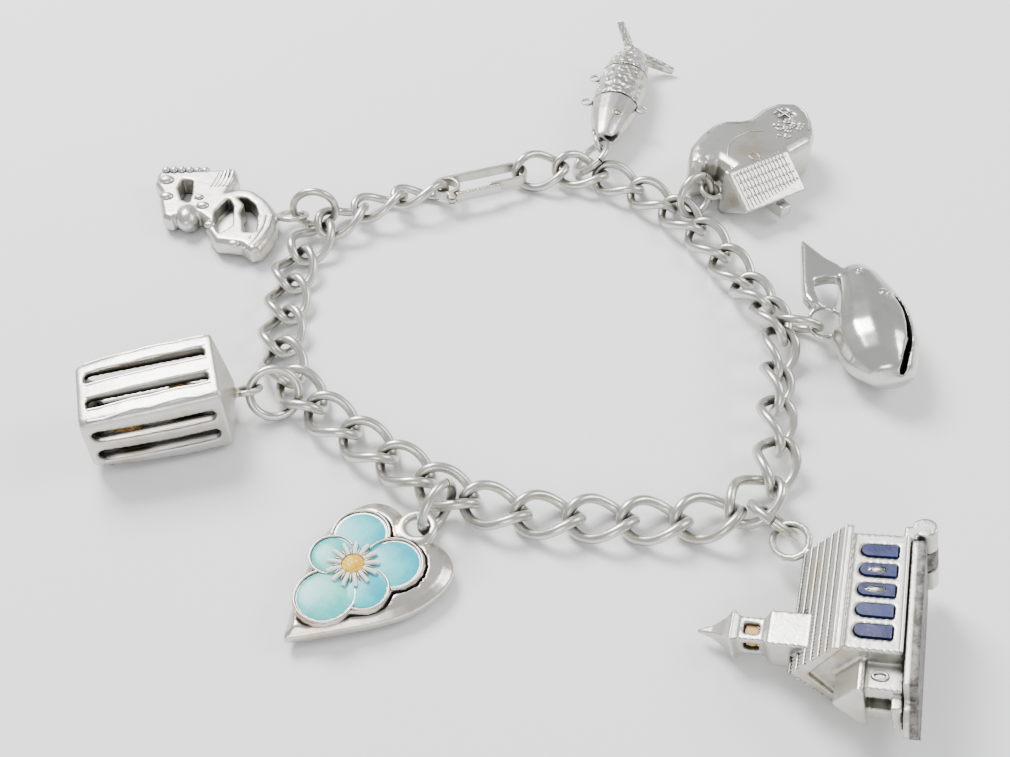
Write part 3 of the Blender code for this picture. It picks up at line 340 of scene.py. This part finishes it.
def crate_inside_painted_shade(finish):
    """Painted shade: 1 on the walls of the crate's inside and 0 on its outside."""
    place = standing(CRATE_AT)
    across = place.to_3x3() @ Vector((0, 1, 0))
    side = abs(finish.along(across, across.dot(place.translation)))
    rise = abs(finish.along((0, 0, 1), place.translation.z + CRATE_RAISE))
    length = place.to_3x3() @ Vector((1, 0, 0))
    middle = place @ Vector((CRATE_START + CRATE_LENGTH / 2, 0, 0))
    far = abs(finish.along(length, length.dot(middle)))
    out_far = finish.step(far, CRATE_LENGTH / 2 - 0.0010, CRATE_LENGTH / 2 - 0.0006)
    out_side = finish.step(side, CRATE_WIDTH / 2 - 0.0009, CRATE_WIDTH / 2 - 0.0004)
    out_rise = finish.step(rise, CRATE_HEIGHT / 2 - 0.0009, CRATE_HEIGHT / 2 - 0.0004)
    return (1.0 - out_side) * (1.0 - out_rise) * (1.0 - out_far)


DARK = (0.030, 0.026, 0.022, 1)
BRIGHT = (0.62, 0.61, 0.56, 1)
STAINED = (0.52, 0.44, 0.31, 1)
DRAWN = (0.60, 0.59, 0.54, 1)
CHAIN_SILVER = old_silver("chain_silver_worn_painted_shade", DRAWN, (0.045, 0.04, 0.03, 1), (0.50, 0.46, 0.35, 1), 0.27)
CAST_SILVER = old_silver("cast_silver_worn_painted_shade", BRIGHT, DARK, STAINED, 0.30, 0.00004)
CRATE_SILVER = old_silver("crate_silver_worn_painted_shade", BRIGHT, (0.012, 0.010, 0.008, 1), STAINED, 0.32, 0.00005,
                          inside=crate_inside_painted_shade)
HEART_SILVER = old_silver("heart_silver_worn_painted_shade", (0.66, 0.63, 0.56, 1), DARK, (0.58, 0.40, 0.28, 1), 0.26)
WHALE_SILVER = old_silver("whale_silver_polished", (0.62, 0.62, 0.58, 1), DARK, (0.52, 0.50, 0.42, 1), 0.17,
                          0.000012)
FISH_SILVER = old_silver("fish_silver_scaled", DRAWN, DARK, (0.48, 0.44, 0.33, 1), 0.28, 0.00045,
                         scales=1150.0)
FLOWER_BLUE = enamel("flower_turquoise", (0.0, 0.42, 0.54, 1), (0.03, 0.60, 0.62, 1),
                     (0.50, 0.66, 0.56, 1))
FLOWER_MINT = enamel("flower_mint", (0.04, 0.54, 0.52, 1), (0.18, 0.70, 0.60, 1),
                     (0.60, 0.68, 0.54, 1))
FLOWER_YELLOW = enamel("flower_yellow_eye", (0.80, 0.42, 0.01, 1), (0.88, 0.62, 0.06, 1),
                       (0.55, 0.30, 0.03, 1), gloss=0.3)
STAMEN_WHITE = enamel("stamen_white", (0.80, 0.80, 0.72, 1), (0.90, 0.90, 0.85, 1),
                      (0.52, 0.50, 0.44, 1), gloss=0.3)
WINDOW_BLUE = enamel("window_cobalt", (0.003, 0.007, 0.075, 1), (0.006, 0.018, 0.12, 1),
                     (0.03, 0.04, 0.09, 1))
AMBER = enamel("belfry_amber", (0.50, 0.22, 0.04, 1), (0.70, 0.40, 0.10, 1),
               (0.20, 0.10, 0.04, 1), gloss=0.4)
NUGGET_GOLD = raw_gold("nugget_gold_raw")


def only(thing):
    """Select this piece and nothing else."""
    bpy.ops.object.select_all(action="DESELECT")
    thing.select_set(True)
    bpy.context.view_layer.objects.active = thing


def twin(model):
    """A copy of a piece with its own mesh."""
    thing = model.copy()
    thing.data = model.data.copy()
    bpy.context.collection.objects.link(thing)
    return thing


def close_up(thing):
    """Merge what lies together and turn the faces outwards."""
    only(thing)
    bpy.ops.object.mode_set(mode="EDIT")
    bpy.ops.mesh.select_all(action="SELECT")
    bpy.ops.mesh.remove_doubles(threshold=0.000002)
    bpy.ops.mesh.normals_make_consistent(inside=False)
    bpy.ops.object.mode_set(mode="OBJECT")


def settle(thing, name, finish, place=None, body="bracelet", angle=50):
    """Put a finished piece where it belongs, with its place in its mesh, and let it ride on its body."""
    only(thing)
    thing.name = name
    thing.data.name = name
    thing.matrix_world = (place or Matrix()) @ thing.matrix_world
    bpy.ops.object.transform_apply(location=True, rotation=True, scale=True)
    thing.data.materials.clear()
    thing.data.materials.append(finish)
    bpy.ops.object.shade_smooth_by_angle(angle=math.radians(angle))
    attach(thing, body)
    return thing


def gathered(things):
    """Several pieces made one."""
    only(things[0])
    for thing in things[1:]:
        thing.select_set(True)
    bpy.ops.object.join()
    return bpy.context.object


def finish_with(thing, kind, **settings):
    """Give a piece a modifier and apply it."""
    only(thing)
    modifier = thing.modifiers.new(kind.lower(), kind)
    for setting, value in settings.items():
        setattr(modifier, setting, value)
    bpy.ops.object.modifier_apply(modifier=modifier.name)


def roughen(thing, pattern, grain, height, level):
    """Push lumps of this grain out of a piece."""
    lumps = bpy.data.textures.new(thing.name + "_lumps", pattern)
    lumps.noise_scale = grain
    finish_with(thing, "DISPLACE", texture=lumps, strength=height, mid_level=level)


def oval(middle, wide, tall, count):
    """Points of a level oval about a middle, from its two radii."""
    x, y, z = middle
    angles = [TURN * k / count for k in range(count)]
    return [(x + wide * math.cos(a), y + tall * math.sin(a), z) for a in angles]


def wire(points, thick, closed=True, roundness=2):
    """A round wire through these points."""
    line = bpy.data.curves.new("wire", "CURVE")
    line.dimensions = "3D"
    line.bevel_depth = thick / 2
    line.bevel_resolution = roundness
    line.use_fill_caps = not closed
    spline = line.splines.new("POLY")
    spline.points.add(len(points) - 1)
    for point, spot in zip(spline.points, points):
        point.co = (*spot, 1)
    spline.use_cyclic_u = closed
    thing = bpy.data.objects.new("wire", line)
    bpy.context.collection.objects.link(thing)
    only(thing)
    bpy.ops.object.convert(target="MESH")
    thing = bpy.context.object
    close_up(thing)
    return thing


def bead(spot, size):
    """A small rounded lump with a flattened foot."""
    bpy.ops.object.select_all(action="DESELECT")
    bpy.ops.mesh.primitive_uv_sphere_add(segments=20, ring_count=12, radius=0.5, location=tuple(spot),
                                         scale=size)
    thing = bpy.context.object
    bpy.ops.object.mode_set(mode="EDIT")
    bpy.ops.mesh.select_all(action="SELECT")
    foot = spot[2] - size[2] * 0.35
    bpy.ops.mesh.bisect(plane_co=(spot[0], spot[1], foot), plane_no=(0, 0, -1), clear_outer=True,
                        use_fill=True)
    bpy.ops.object.mode_set(mode="OBJECT")
    return thing


def recast(node, finish, body="bracelet", grain=0.00013, rounds=3, cuts=()):
    """A copy of a solid with its edges softened as a casting's are, in the solid's place."""
    thing = twin(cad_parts[node])
    thing.parent = None
    close_up(thing)
    for tool in cuts:
        finish_with(thing, "BOOLEAN", operation="DIFFERENCE", solver="EXACT", object=tool)
        bpy.data.objects.remove(tool)
    finish_with(thing, "REMESH", mode="VOXEL", voxel_size=grain)
    finish_with(thing, "SMOOTH", factor=0.5, iterations=rounds)
    settle(thing, node + "_cast", finish, body=body, angle=75)
    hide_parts(node)
    return thing


def height_on(thing, spot):
    """The point of a piece straight under a spot."""
    hit, where, _, _ = thing.ray_cast(Vector((spot[0], spot[1], 0.03)), Vector((0, 0, -1)))
    return where if hit else Vector(spot)


def on_top(body, charm, flat):
    """Points on top of a charm, from shares of its length along it and across it."""
    where, start, length = charm
    place = standing(where)
    return [height_on(body, place @ Vector((start + x * length, y * length, 0))) for x, y in flat]


def ringed_eye(body, spot, radius, count, thick, pupil):
    """A ring of wire on a charm round a small bead."""
    around = [height_on(body, point) for point in oval((spot[0], spot[1], 0), radius, radius, count)]
    return [wire(around, thick), bead(spot, pupil)]


def axes_of(node):
    """The middle of a link or ring and its long, broad and thin directions."""
    points = np.array([v.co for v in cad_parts[node].data.vertices])
    middle = points.mean(axis=0)
    _, directions = np.linalg.eigh(np.cov((points - middle).T))
    long, broad = Vector(directions[:, 2]), Vector(directions[:, 1])
    turn = Matrix((long, broad, long.cross(broad))).transposed().to_4x4()
    return Matrix.Translation(middle) @ turn


def link_wire():
    """One curb link, twisted so that the chain lies flat."""
    half_length = (LINK_LENGTH - LINK_WIRE) / 2
    half_width = (LINK_WIDTH - LINK_WIRE) / 2
    points = []
    for k in range(LINK_POINTS):
        angle = TURN * k / LINK_POINTS
        out = half_width * math.sin(angle)
        turn = LINK_TWIST * math.cos(angle)
        points.append((half_length * math.cos(angle), out * math.cos(turn), out * math.sin(turn)))
    return wire(points, LINK_WIRE, roundness=4)


def ring_wire():
    """One jump ring, whose ends don't quite meet."""
    radius = (RING_OUTER - RING_WIRE) / 2
    points = []
    for k in range(RING_POINTS):
        angle = math.radians(RING_GAP + (360 - 2 * RING_GAP) * k / (RING_POINTS - 1))
        points.append((radius * math.cos(angle), radius * math.sin(angle), 0.0))
    return wire(points, RING_WIRE, False, 4)


def strung(model, node):
    """A wire link or ring in the place of its solid."""
    thing = twin(model)
    settle(thing, node + "_wire", CHAIN_SILVER, axes_of(node))
    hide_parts(node)


def chain():
    """All links and jump rings."""
    link = link_wire()
    for node in sorted(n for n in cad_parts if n.startswith("chain_link")):
        strung(link, node)
    ring = ring_wire()
    for node in sorted(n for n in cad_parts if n.endswith("_ring")):
        strung(ring, node)
    for model in (link, ring):
        bpy.data.objects.remove(model)


def petal_rounds():
    """Each petal's middle and radius."""
    rounds = []
    for angle, out, radius in PETALS:
        turn = math.radians(angle)
        rounds.append((FLOWER_AT[0] + out * FLOWER_RADIUS * math.cos(turn),
                       FLOWER_AT[1] + out * FLOWER_RADIUS * math.sin(turn), radius * FLOWER_RADIUS))
    return rounds


def outline_runs(petal, later):
    """The runs of a petal's outline outside the later petals and the field of the stamens."""
    x, y, radius = petal
    runs, run = [], []
    for k in range(73):
        angle = TURN * k / 72
        spot = (x + radius * math.cos(angle), y + radius * math.sin(angle))
        covered = math.hypot(spot[0] - FLOWER_AT[0], spot[1] - FLOWER_AT[1]) < STAMEN_FIELD
        for other_x, other_y, other in later:
            covered = covered or math.hypot(spot[0] - other_x, spot[1] - other_y) < other
        if covered and len(run) > 1:
            runs.append(run)
        run = [] if covered else run + [(*spot, HEART_TOP + OUTLINE_RISE)]
    return runs + ([run] if len(run) > 1 else [])


def flower_eye(place):
    """The grainy yellow middle of the flower."""
    eye = bead((*FLOWER_AT, HEART_TOP + 0.00030), (FLOWER_EYE * 2.0, FLOWER_EYE * 2.0, 0.00130))
    finish_with(eye, "SUBSURF", levels=2, render_levels=2)
    roughen(eye, "VORONOI", 0.0004, 0.00016, 0.5)
    settle(eye, "flower_eye", FLOWER_YELLOW, place)
    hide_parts("heart_flower_eye")


def petals(place):
    """Low domes of enamel, each a little higher than the last, with silver outlines where they show."""
    rounds = petal_rounds()
    edges = []
    for number, (x, y, radius) in enumerate(rounds):
        runs = outline_runs(rounds[number], rounds[number + 1:])
        edges += [wire(run, OUTLINE_WIRE, False) for run in runs]
        height = 0.00024 + 0.00004 * number
        petal = bead((x, y, HEART_TOP + 0.00010), (radius * 1.94, radius * 1.94, height * 2))
        finish = FLOWER_MINT if number in MINT_PETALS else FLOWER_BLUE
        settle(petal, f"flower_petal_{number + 1}", finish, place)
    settle(gathered(edges), "flower_outlines", HEART_SILVER, place)


def stamens(place):
    """Raised white strokes and fine dark ones by turns, from the eye outwards."""
    kinds = (("white", STAMEN_WHITE, 0, 0.0025, 0.00044), ("dark", CRATE_SILVER, 1, 0.0019, 0.00016))
    for name, finish, first, reach, thick in kinds:
        strokes = []
        for k in range(first, STAMENS, 2):
            angle = TURN * k / STAMENS
            bends = ((FLOWER_EYE * 0.95, 0.00052), (reach * 0.8, 0.00062), (reach, 0.00048))
            ends = [(FLOWER_AT[0] + out * math.cos(angle), FLOWER_AT[1] + out * math.sin(angle),
                     HEART_TOP + rise) for out, rise in bends]
            strokes.append(wire(ends, thick, False))
        settle(gathered(strokes), f"stamens_{name}", finish, place)


def heart():
    """The heart with its enamel flower."""
    place = standing(HEART_AT)
    recast("heart", HEART_SILVER, grain=0.00014, rounds=10)
    recast("heart_flower", HEART_SILVER, grain=0.00010, rounds=3)
    flower_eye(place)
    petals(place)
    stamens(place)


def slot(place, middle, size):
    """A box with rounded ends that cuts one gap."""
    bpy.ops.object.select_all(action="DESELECT")
    bpy.ops.mesh.primitive_cube_add(size=1, location=middle, scale=size)
    tool = bpy.context.object
    bpy.ops.object.transform_apply(location=True, rotation=False, scale=True)
    finish_with(tool, "BEVEL", width=0.0004, segments=2)
    tool.matrix_world = place
    return tool


def crate_slots(place):
    """The boxes that cut the crate's gaps, two through its top and two through its sides."""
    middle = Vector((CRATE_START + CRATE_LENGTH / 2, 0, CRATE_RAISE))
    inside = CRATE_LENGTH - 2 * GAP_END
    tools = []
    for across in TOP_GAPS:
        shift = Vector((0, CRATE_WIDTH * across, 0))
        tools.append(slot(place, middle + shift, (inside, CRATE_GAP, CRATE_WIDTH)))
    for up in SIDE_GAPS:
        shift = Vector((0, 0, CRATE_HEIGHT * up))
        tools.append(slot(place, middle + shift, (inside, CRATE_WIDTH * 1.4, CRATE_GAP)))
    return tools


def crate():
    """The slatted crate with its gaps cut to their full width, and the nuggets in it."""
    place = standing(CRATE_AT)
    body = recast("crate", CRATE_SILVER, grain=0.00019, rounds=4, cuts=crate_slots(place))
    ridges = []
    for across in SLAT_RIDGES:
        run = []
        for k in range(9):
            waver = 1 + 0.03 * math.sin(2.1 * k)
            spot = (CRATE_START + CRATE_LENGTH * (0.05 + 0.11 * k), CRATE_WIDTH * across * waver, 0)
            run.append(height_on(body, place @ Vector(spot)))
        ridges.append(wire(run, 0.00026, False, 1))
    settle(gathered(ridges), "crate_slat_ridges", CRATE_SILVER)
    for number in (1, 2):
        nugget = recast(f"crate_nugget_{number}", NUGGET_GOLD, grain=0.00012, rounds=1)
        roughen(nugget, "CLOUDS", 0.0012, 0.0004, 0.7)


def church_windows(place):
    """Blue enamel in the windows, with a bare spot in two of them."""
    for k in range(WINDOW_COUNT):
        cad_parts[f"church_window_{k + 1}"].data.materials[0] = WINDOW_BLUE
    step = NAVE_LENGTH / (WINDOW_COUNT + 0.8)
    losses = []
    for k in (1, 2):
        spot = (step * (k + 0.9), NAVE_WALL * 0.20 + WINDOW_HEIGHT * 0.52, -NAVE_WIDTH / 2)
        losses.append(bead(spot, (WINDOW_WIDTH * 0.78, WINDOW_HEIGHT * 0.66, 0.00040)))
    settle(gathered(losses), "window_losses", CHAIN_SILVER, place)


def shingle_row(slope, run):
    """The joints of one row of shingles, at the ridge."""
    joints = []
    for k in range(SHINGLES):
        u = -EAVE + (NAVE_LENGTH + 2 * EAVE) * (k + 0.5) / SHINGLES
        joints.append(wire([(u, -slope * w, w) for w in (0.0, run * 0.5, run)], 0.00017, False, 0))
    return gathered(joints)


def church_roof(place):
    """A raised line under each course of both slopes, and rows of shingles between the lines."""
    slope = NAVE_RISE / (NAVE_WIDTH / 2)
    top = NAVE_WALL + NAVE_RISE + ROOF_THICK * math.hypot(1, slope)
    run = (NAVE_WIDTH / 2 + EAVE) / ROOF_COURSES
    courses = []
    for side in (-1, 1):
        for k in range(ROOF_COURSES + 1):
            v, w = top - slope * run * k, side * run * k
            ends = [(-EAVE, v, w), (NAVE_LENGTH * 0.5, v, w), (NAVE_LENGTH + EAVE, v, w)]
            courses.append(wire(ends, 0.00036, False))
    settle(gathered(courses), "roof_courses", CAST_SILVER, place)
    model = shingle_row(slope, run)
    for side, word in ((-1, "left"), (1, "right")):
        for k in range(ROOF_COURSES):
            row = twin(model)
            down = Matrix.Translation((SHINGLE_SHIFT * (k % 2), top - slope * run * k, side * run * k))
            mirrored = Matrix.Diagonal((1, 1, side, 1))
            settle(row, f"shingles_{k + 1}_{word}", CAST_SILVER, place @ down @ mirrored)
            close_up(row)
    bpy.data.objects.remove(model)


def church_trims(place):
    """The belfry's amber core, the frame of the porch's oval window and the plinth of the nave."""
    level = TOWER_TOP + BELFRY_HEIGHT * 0.38
    core = bead((TOWER_U, level, 0.0), (BELFRY_WIDTH * 0.72, BELFRY_HEIGHT * 0.62, BELFRY_WIDTH * 0.86))
    settle(core, "belfry_core", AMBER, place)
    middle = (NAVE_LENGTH + PORCH_LENGTH * 0.5, PORCH_HEIGHT * 0.52, -PORCH_WIDTH / 2 - 0.00005)
    settle(wire(oval(middle, 0.00036, 0.00062, 16), 0.00030), "porch_window_frame", CAST_SILVER, place)
    plinth = []
    for side in (-1, 1):
        w = side * (NAVE_WIDTH / 2 + 0.00012)
        ends = [(0.0002, 0.00022, w), (NAVE_LENGTH * 0.5, 0.00022, w), (NAVE_LENGTH, 0.00022, w)]
        plinth.append(wire(ends, 0.00036, False))
    settle(gathered(plinth), "nave_plinth", CAST_SILVER, place)


def church():
    """The church and the base that hinges on it."""
    place = church_place()
    recast("church", CAST_SILVER, grain=0.00015, rounds=2)
    recast("church_base", base_silver("church_base_silver_painted_shade", place), "church_base", grain=0.00015, rounds=2)
    church_windows(place)
    church_roof(place)
    church_trims(place)


def whale():
    """The polished whale with its ringed eyes and a raised lip."""
    body = recast("whale", WHALE_SILVER, grain=0.00013, rounds=55)
    marks = []
    for x, y, size in ((0.385, 0.04, 0.0014), (0.30, 0.30, 0.0010)):
        spot = on_top(body, WHALE, [(x, y)])[0]
        marks += ringed_eye(body, spot, size / 2, 24, 0.00018, (size * 0.62, size * 0.62, 0.00030))
    marks.append(wire(on_top(body, WHALE, WHALE_LIP), 0.00030, False))
    settle(gathered(marks), "whale_eyes", WHALE_SILVER)


def shoe_trims(body):
    """The shoe's welt, its seam and the outline of its arched window."""
    arch = [(x, y) for x, y, _ in oval((0.30, -0.075, 0), 0.030, 0.040, 14)]
    trims = [wire(on_top(body, SHOE, SHOE_EDGE), 0.00032, False),
             wire(on_top(body, SHOE, SHOE_SEAM), 0.00024, False),
             wire(on_top(body, SHOE, arch), 0.00024)]
    settle(gathered(trims), "shoe_welt", CAST_SILVER)


def shoe_creeper(body):
    """Small leaves that climb over the toe."""
    leaves = []
    scatter = np.random.default_rng(7)
    for _ in range(LEAVES):
        away, turn = math.sqrt(scatter.random()), TURN * scatter.random()
        x, y = 0.70 + 0.12 * away * math.cos(turn), 0.02 + 0.10 * away * math.sin(turn)
        spot = on_top(body, SHOE, [(x, y)])[0]
        size = 0.0006 + 0.0005 * scatter.random()
        leaves.append(bead(spot, (size, size * 0.8, 0.0005)))
    settle(gathered(leaves), "shoe_creeper", CAST_SILVER)


def shoe_roof(body):
    """Ribs down the roof and courses along it, left out where they would fall off its edge."""
    rows = [(x, -0.125, x - 0.02, -0.325) for x in (0.075 + 0.0285 * k for k in range(ROOF_RIBS))]
    rows += [(0.07, y, 0.48, y - 0.05) for y in (-0.13, -0.175, -0.22, -0.265)]
    ribs = []
    for x, y, end_x, end_y in rows:
        shares = [k / 8 for k in range(9)]
        flat = [(x + (end_x - x) * share, y + (end_y - y) * share) for share in shares]
        run = on_top(body, SHOE, flat)
        if max(point.z for point in run) - min(point.z for point in run) < RIB_DROP:
            ribs.append(wire(run, 0.00026, False, 1))
    settle(gathered(ribs), "shoe_roof_ribs", CAST_SILVER)


def shoe_window():
    """The crossed bars of the window with four panes."""
    _, start, length = SHOE
    bars = []
    for a, b in ((-1, 0), (1, 0), (0, -1), (0, 1)):
        ends = []
        for share in (0.0, 0.5, 1.0):
            spot = (start + 0.80 * length + a * share * 0.0013, 0.14 * length + b * share * 0.0013,
                    SHOE_THICK / 2 + 0.0005)
            ends.append(standing(SHOE_AT) @ Vector(spot))
        bars.append(wire(ends, 0.00026, False))
    settle(gathered(bars), "shoe_window_bars", CAST_SILVER)


def shoe_house():
    """The house in a shoe."""
    body = recast("shoe_house", CAST_SILVER, grain=0.00014, rounds=12)
    shoe_trims(body)
    shoe_creeper(body)
    shoe_roof(body)
    shoe_window()


def fish():
    """The fish's three parts, its eye and the small loops along its sides."""
    place = standing(FISH_AT)
    head = recast("fish_head", CAST_SILVER, grain=0.00011, rounds=26)
    recast("fish_body", FISH_SILVER, grain=0.00011, rounds=22)
    recast("fish_tail", FISH_SILVER, grain=0.00011, rounds=12)
    spot = height_on(head, place @ Vector((FISH_START + 0.17 * FISH_LENGTH, -0.14 * FISH_WIDTH, 0)))
    eye = ringed_eye(head, spot, 0.00060, 20, 0.00022, (0.0007, 0.0007, 0.0004))
    settle(gathered(eye), "fish_eye", CAST_SILVER)
    loops = []
    for along, side in ((0.33, 1), (0.60, 1), (0.33, -1)):
        middle = (FISH_START + along * FISH_LENGTH, side * FISH_WIDTH * 0.56, 0.0006)
        loops.append(wire(oval(middle, 0.00065, 0.00065, 20), 0.00034))
    settle(gathered(loops), "fish_side_loops", CAST_SILVER, place)


def casting():
    """The openwork casting, with raised ribs, beads and balls on it."""
    body = recast("casting", CAST_SILVER, grain=0.00012, rounds=18)
    ridges = []
    for inset in (0.00, 0.045, 0.09):
        edge = [(0.05 + inset, 0.03), (0.06 + inset, 0.16), (0.10 + inset, 0.28), (0.15 + inset * 0.8, 0.37)]
        ridges.append(wire(on_top(body, CASTING, edge), 0.00034, False))
    for spot in on_top(body, CASTING, [(0.62 + 0.06 * k, -0.54) for k in range(6)]):
        ridges.append(bead(spot, (0.0012, 0.0012, 0.0010)))
    for k in range(5):
        comb = [(0.40 + 0.028 * k, -0.50), (0.41 + 0.03 * k, -0.42), (0.43 + 0.03 * k, -0.33)]
        ridges.append(wire(on_top(body, CASTING, comb), 0.00030, False, 1))
    for x, y, size in ((0.58, -0.10, 0.0013), (0.62, -0.20, 0.0010), (0.87, -0.22, 0.0014),
                       (0.90, -0.42, 0.0016), (0.50, 0.12, 0.0011), (0.30, 0.32, 0.0012)):
        ridges.append(bead(on_top(body, CASTING, [(x, y)])[0], (size * 1.3, size, size * 0.7)))
    settle(gathered(ridges), "casting_ridges", CAST_SILVER)


def clasp():
    """The clasp's body and its leaf, with fine beads along the leaf's top."""
    recast("clasp_body", CHAIN_SILVER, grain=0.00008, rounds=3)
    leaf = recast("clasp_lever", CHAIN_SILVER, "clasp_lever", grain=0.00008, rounds=3)
    low, high = [Vector(corner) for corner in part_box("clasp_lever")]
    along = Vector((math.cos(CLASP_HEADING), math.sin(CLASP_HEADING), 0))
    middle = (low + high) / 2
    beads = []
    for k in range(-9, 10):
        spot = height_on(leaf, middle + along * MILLING_STEP * k)
        if spot.z > middle.z:
            beads.append(bead(spot, (0.00034, 0.00034, 0.00024)))
    settle(gathered(beads), "clasp_milling", CHAIN_SILVER, body="clasp_lever")


def studio():
    """A pale table, soft light from above and the side, and the camera."""
    bpy.ops.object.select_all(action="DESELECT")
    bpy.ops.mesh.primitive_plane_add(size=3.0, location=(0, 0, -0.0002))
    floor = bpy.context.object
    floor.name = "table"
    floor.data.materials.append(table_top("pale_table"))
    world = bpy.data.worlds.new("studio")
    bpy.context.scene.world = world
    world.use_nodes = True
    world.node_tree.nodes["Background"].inputs["Color"].default_value = (0.95, 0.97, 1.0, 1)
    world.node_tree.nodes["Background"].inputs["Strength"].default_value = 0.72
    for spot, size, power in (((-0.18, 0.24, 0.36), 0.20, 3.8), ((0.30, 0.05, 0.25), 0.14, 0.7),
                              ((0.0, -0.34, 0.20), 0.16, 0.5)):
        aim = Vector(MIDDLE) - Vector(spot)
        bpy.ops.object.light_add(type="AREA", location=spot, rotation=aim.to_track_quat("-Z", "Y").to_euler())
        bpy.context.object.data.energy = power
        bpy.context.object.data.size = size
    back = CAMERA_REACH * math.cos(CAMERA_TILT)
    up = CAMERA_REACH * math.sin(CAMERA_TILT)
    bpy.ops.object.camera_add(location=Vector(MIDDLE) + Vector((0, -back, up)),
                              rotation=(math.pi / 2 - CAMERA_TILT, 0, 0))
    camera = bpy.context.object
    camera.data.sensor_width = 36
    camera.data.sensor_fit = "HORIZONTAL"
    camera.data.lens = CAMERA_LENS
    camera.data.clip_start = 0.001
    bpy.context.scene.camera = camera


chain()
heart()
crate()
church()
whale()
shoe_house()
fish()
casting()
clasp()
studio()
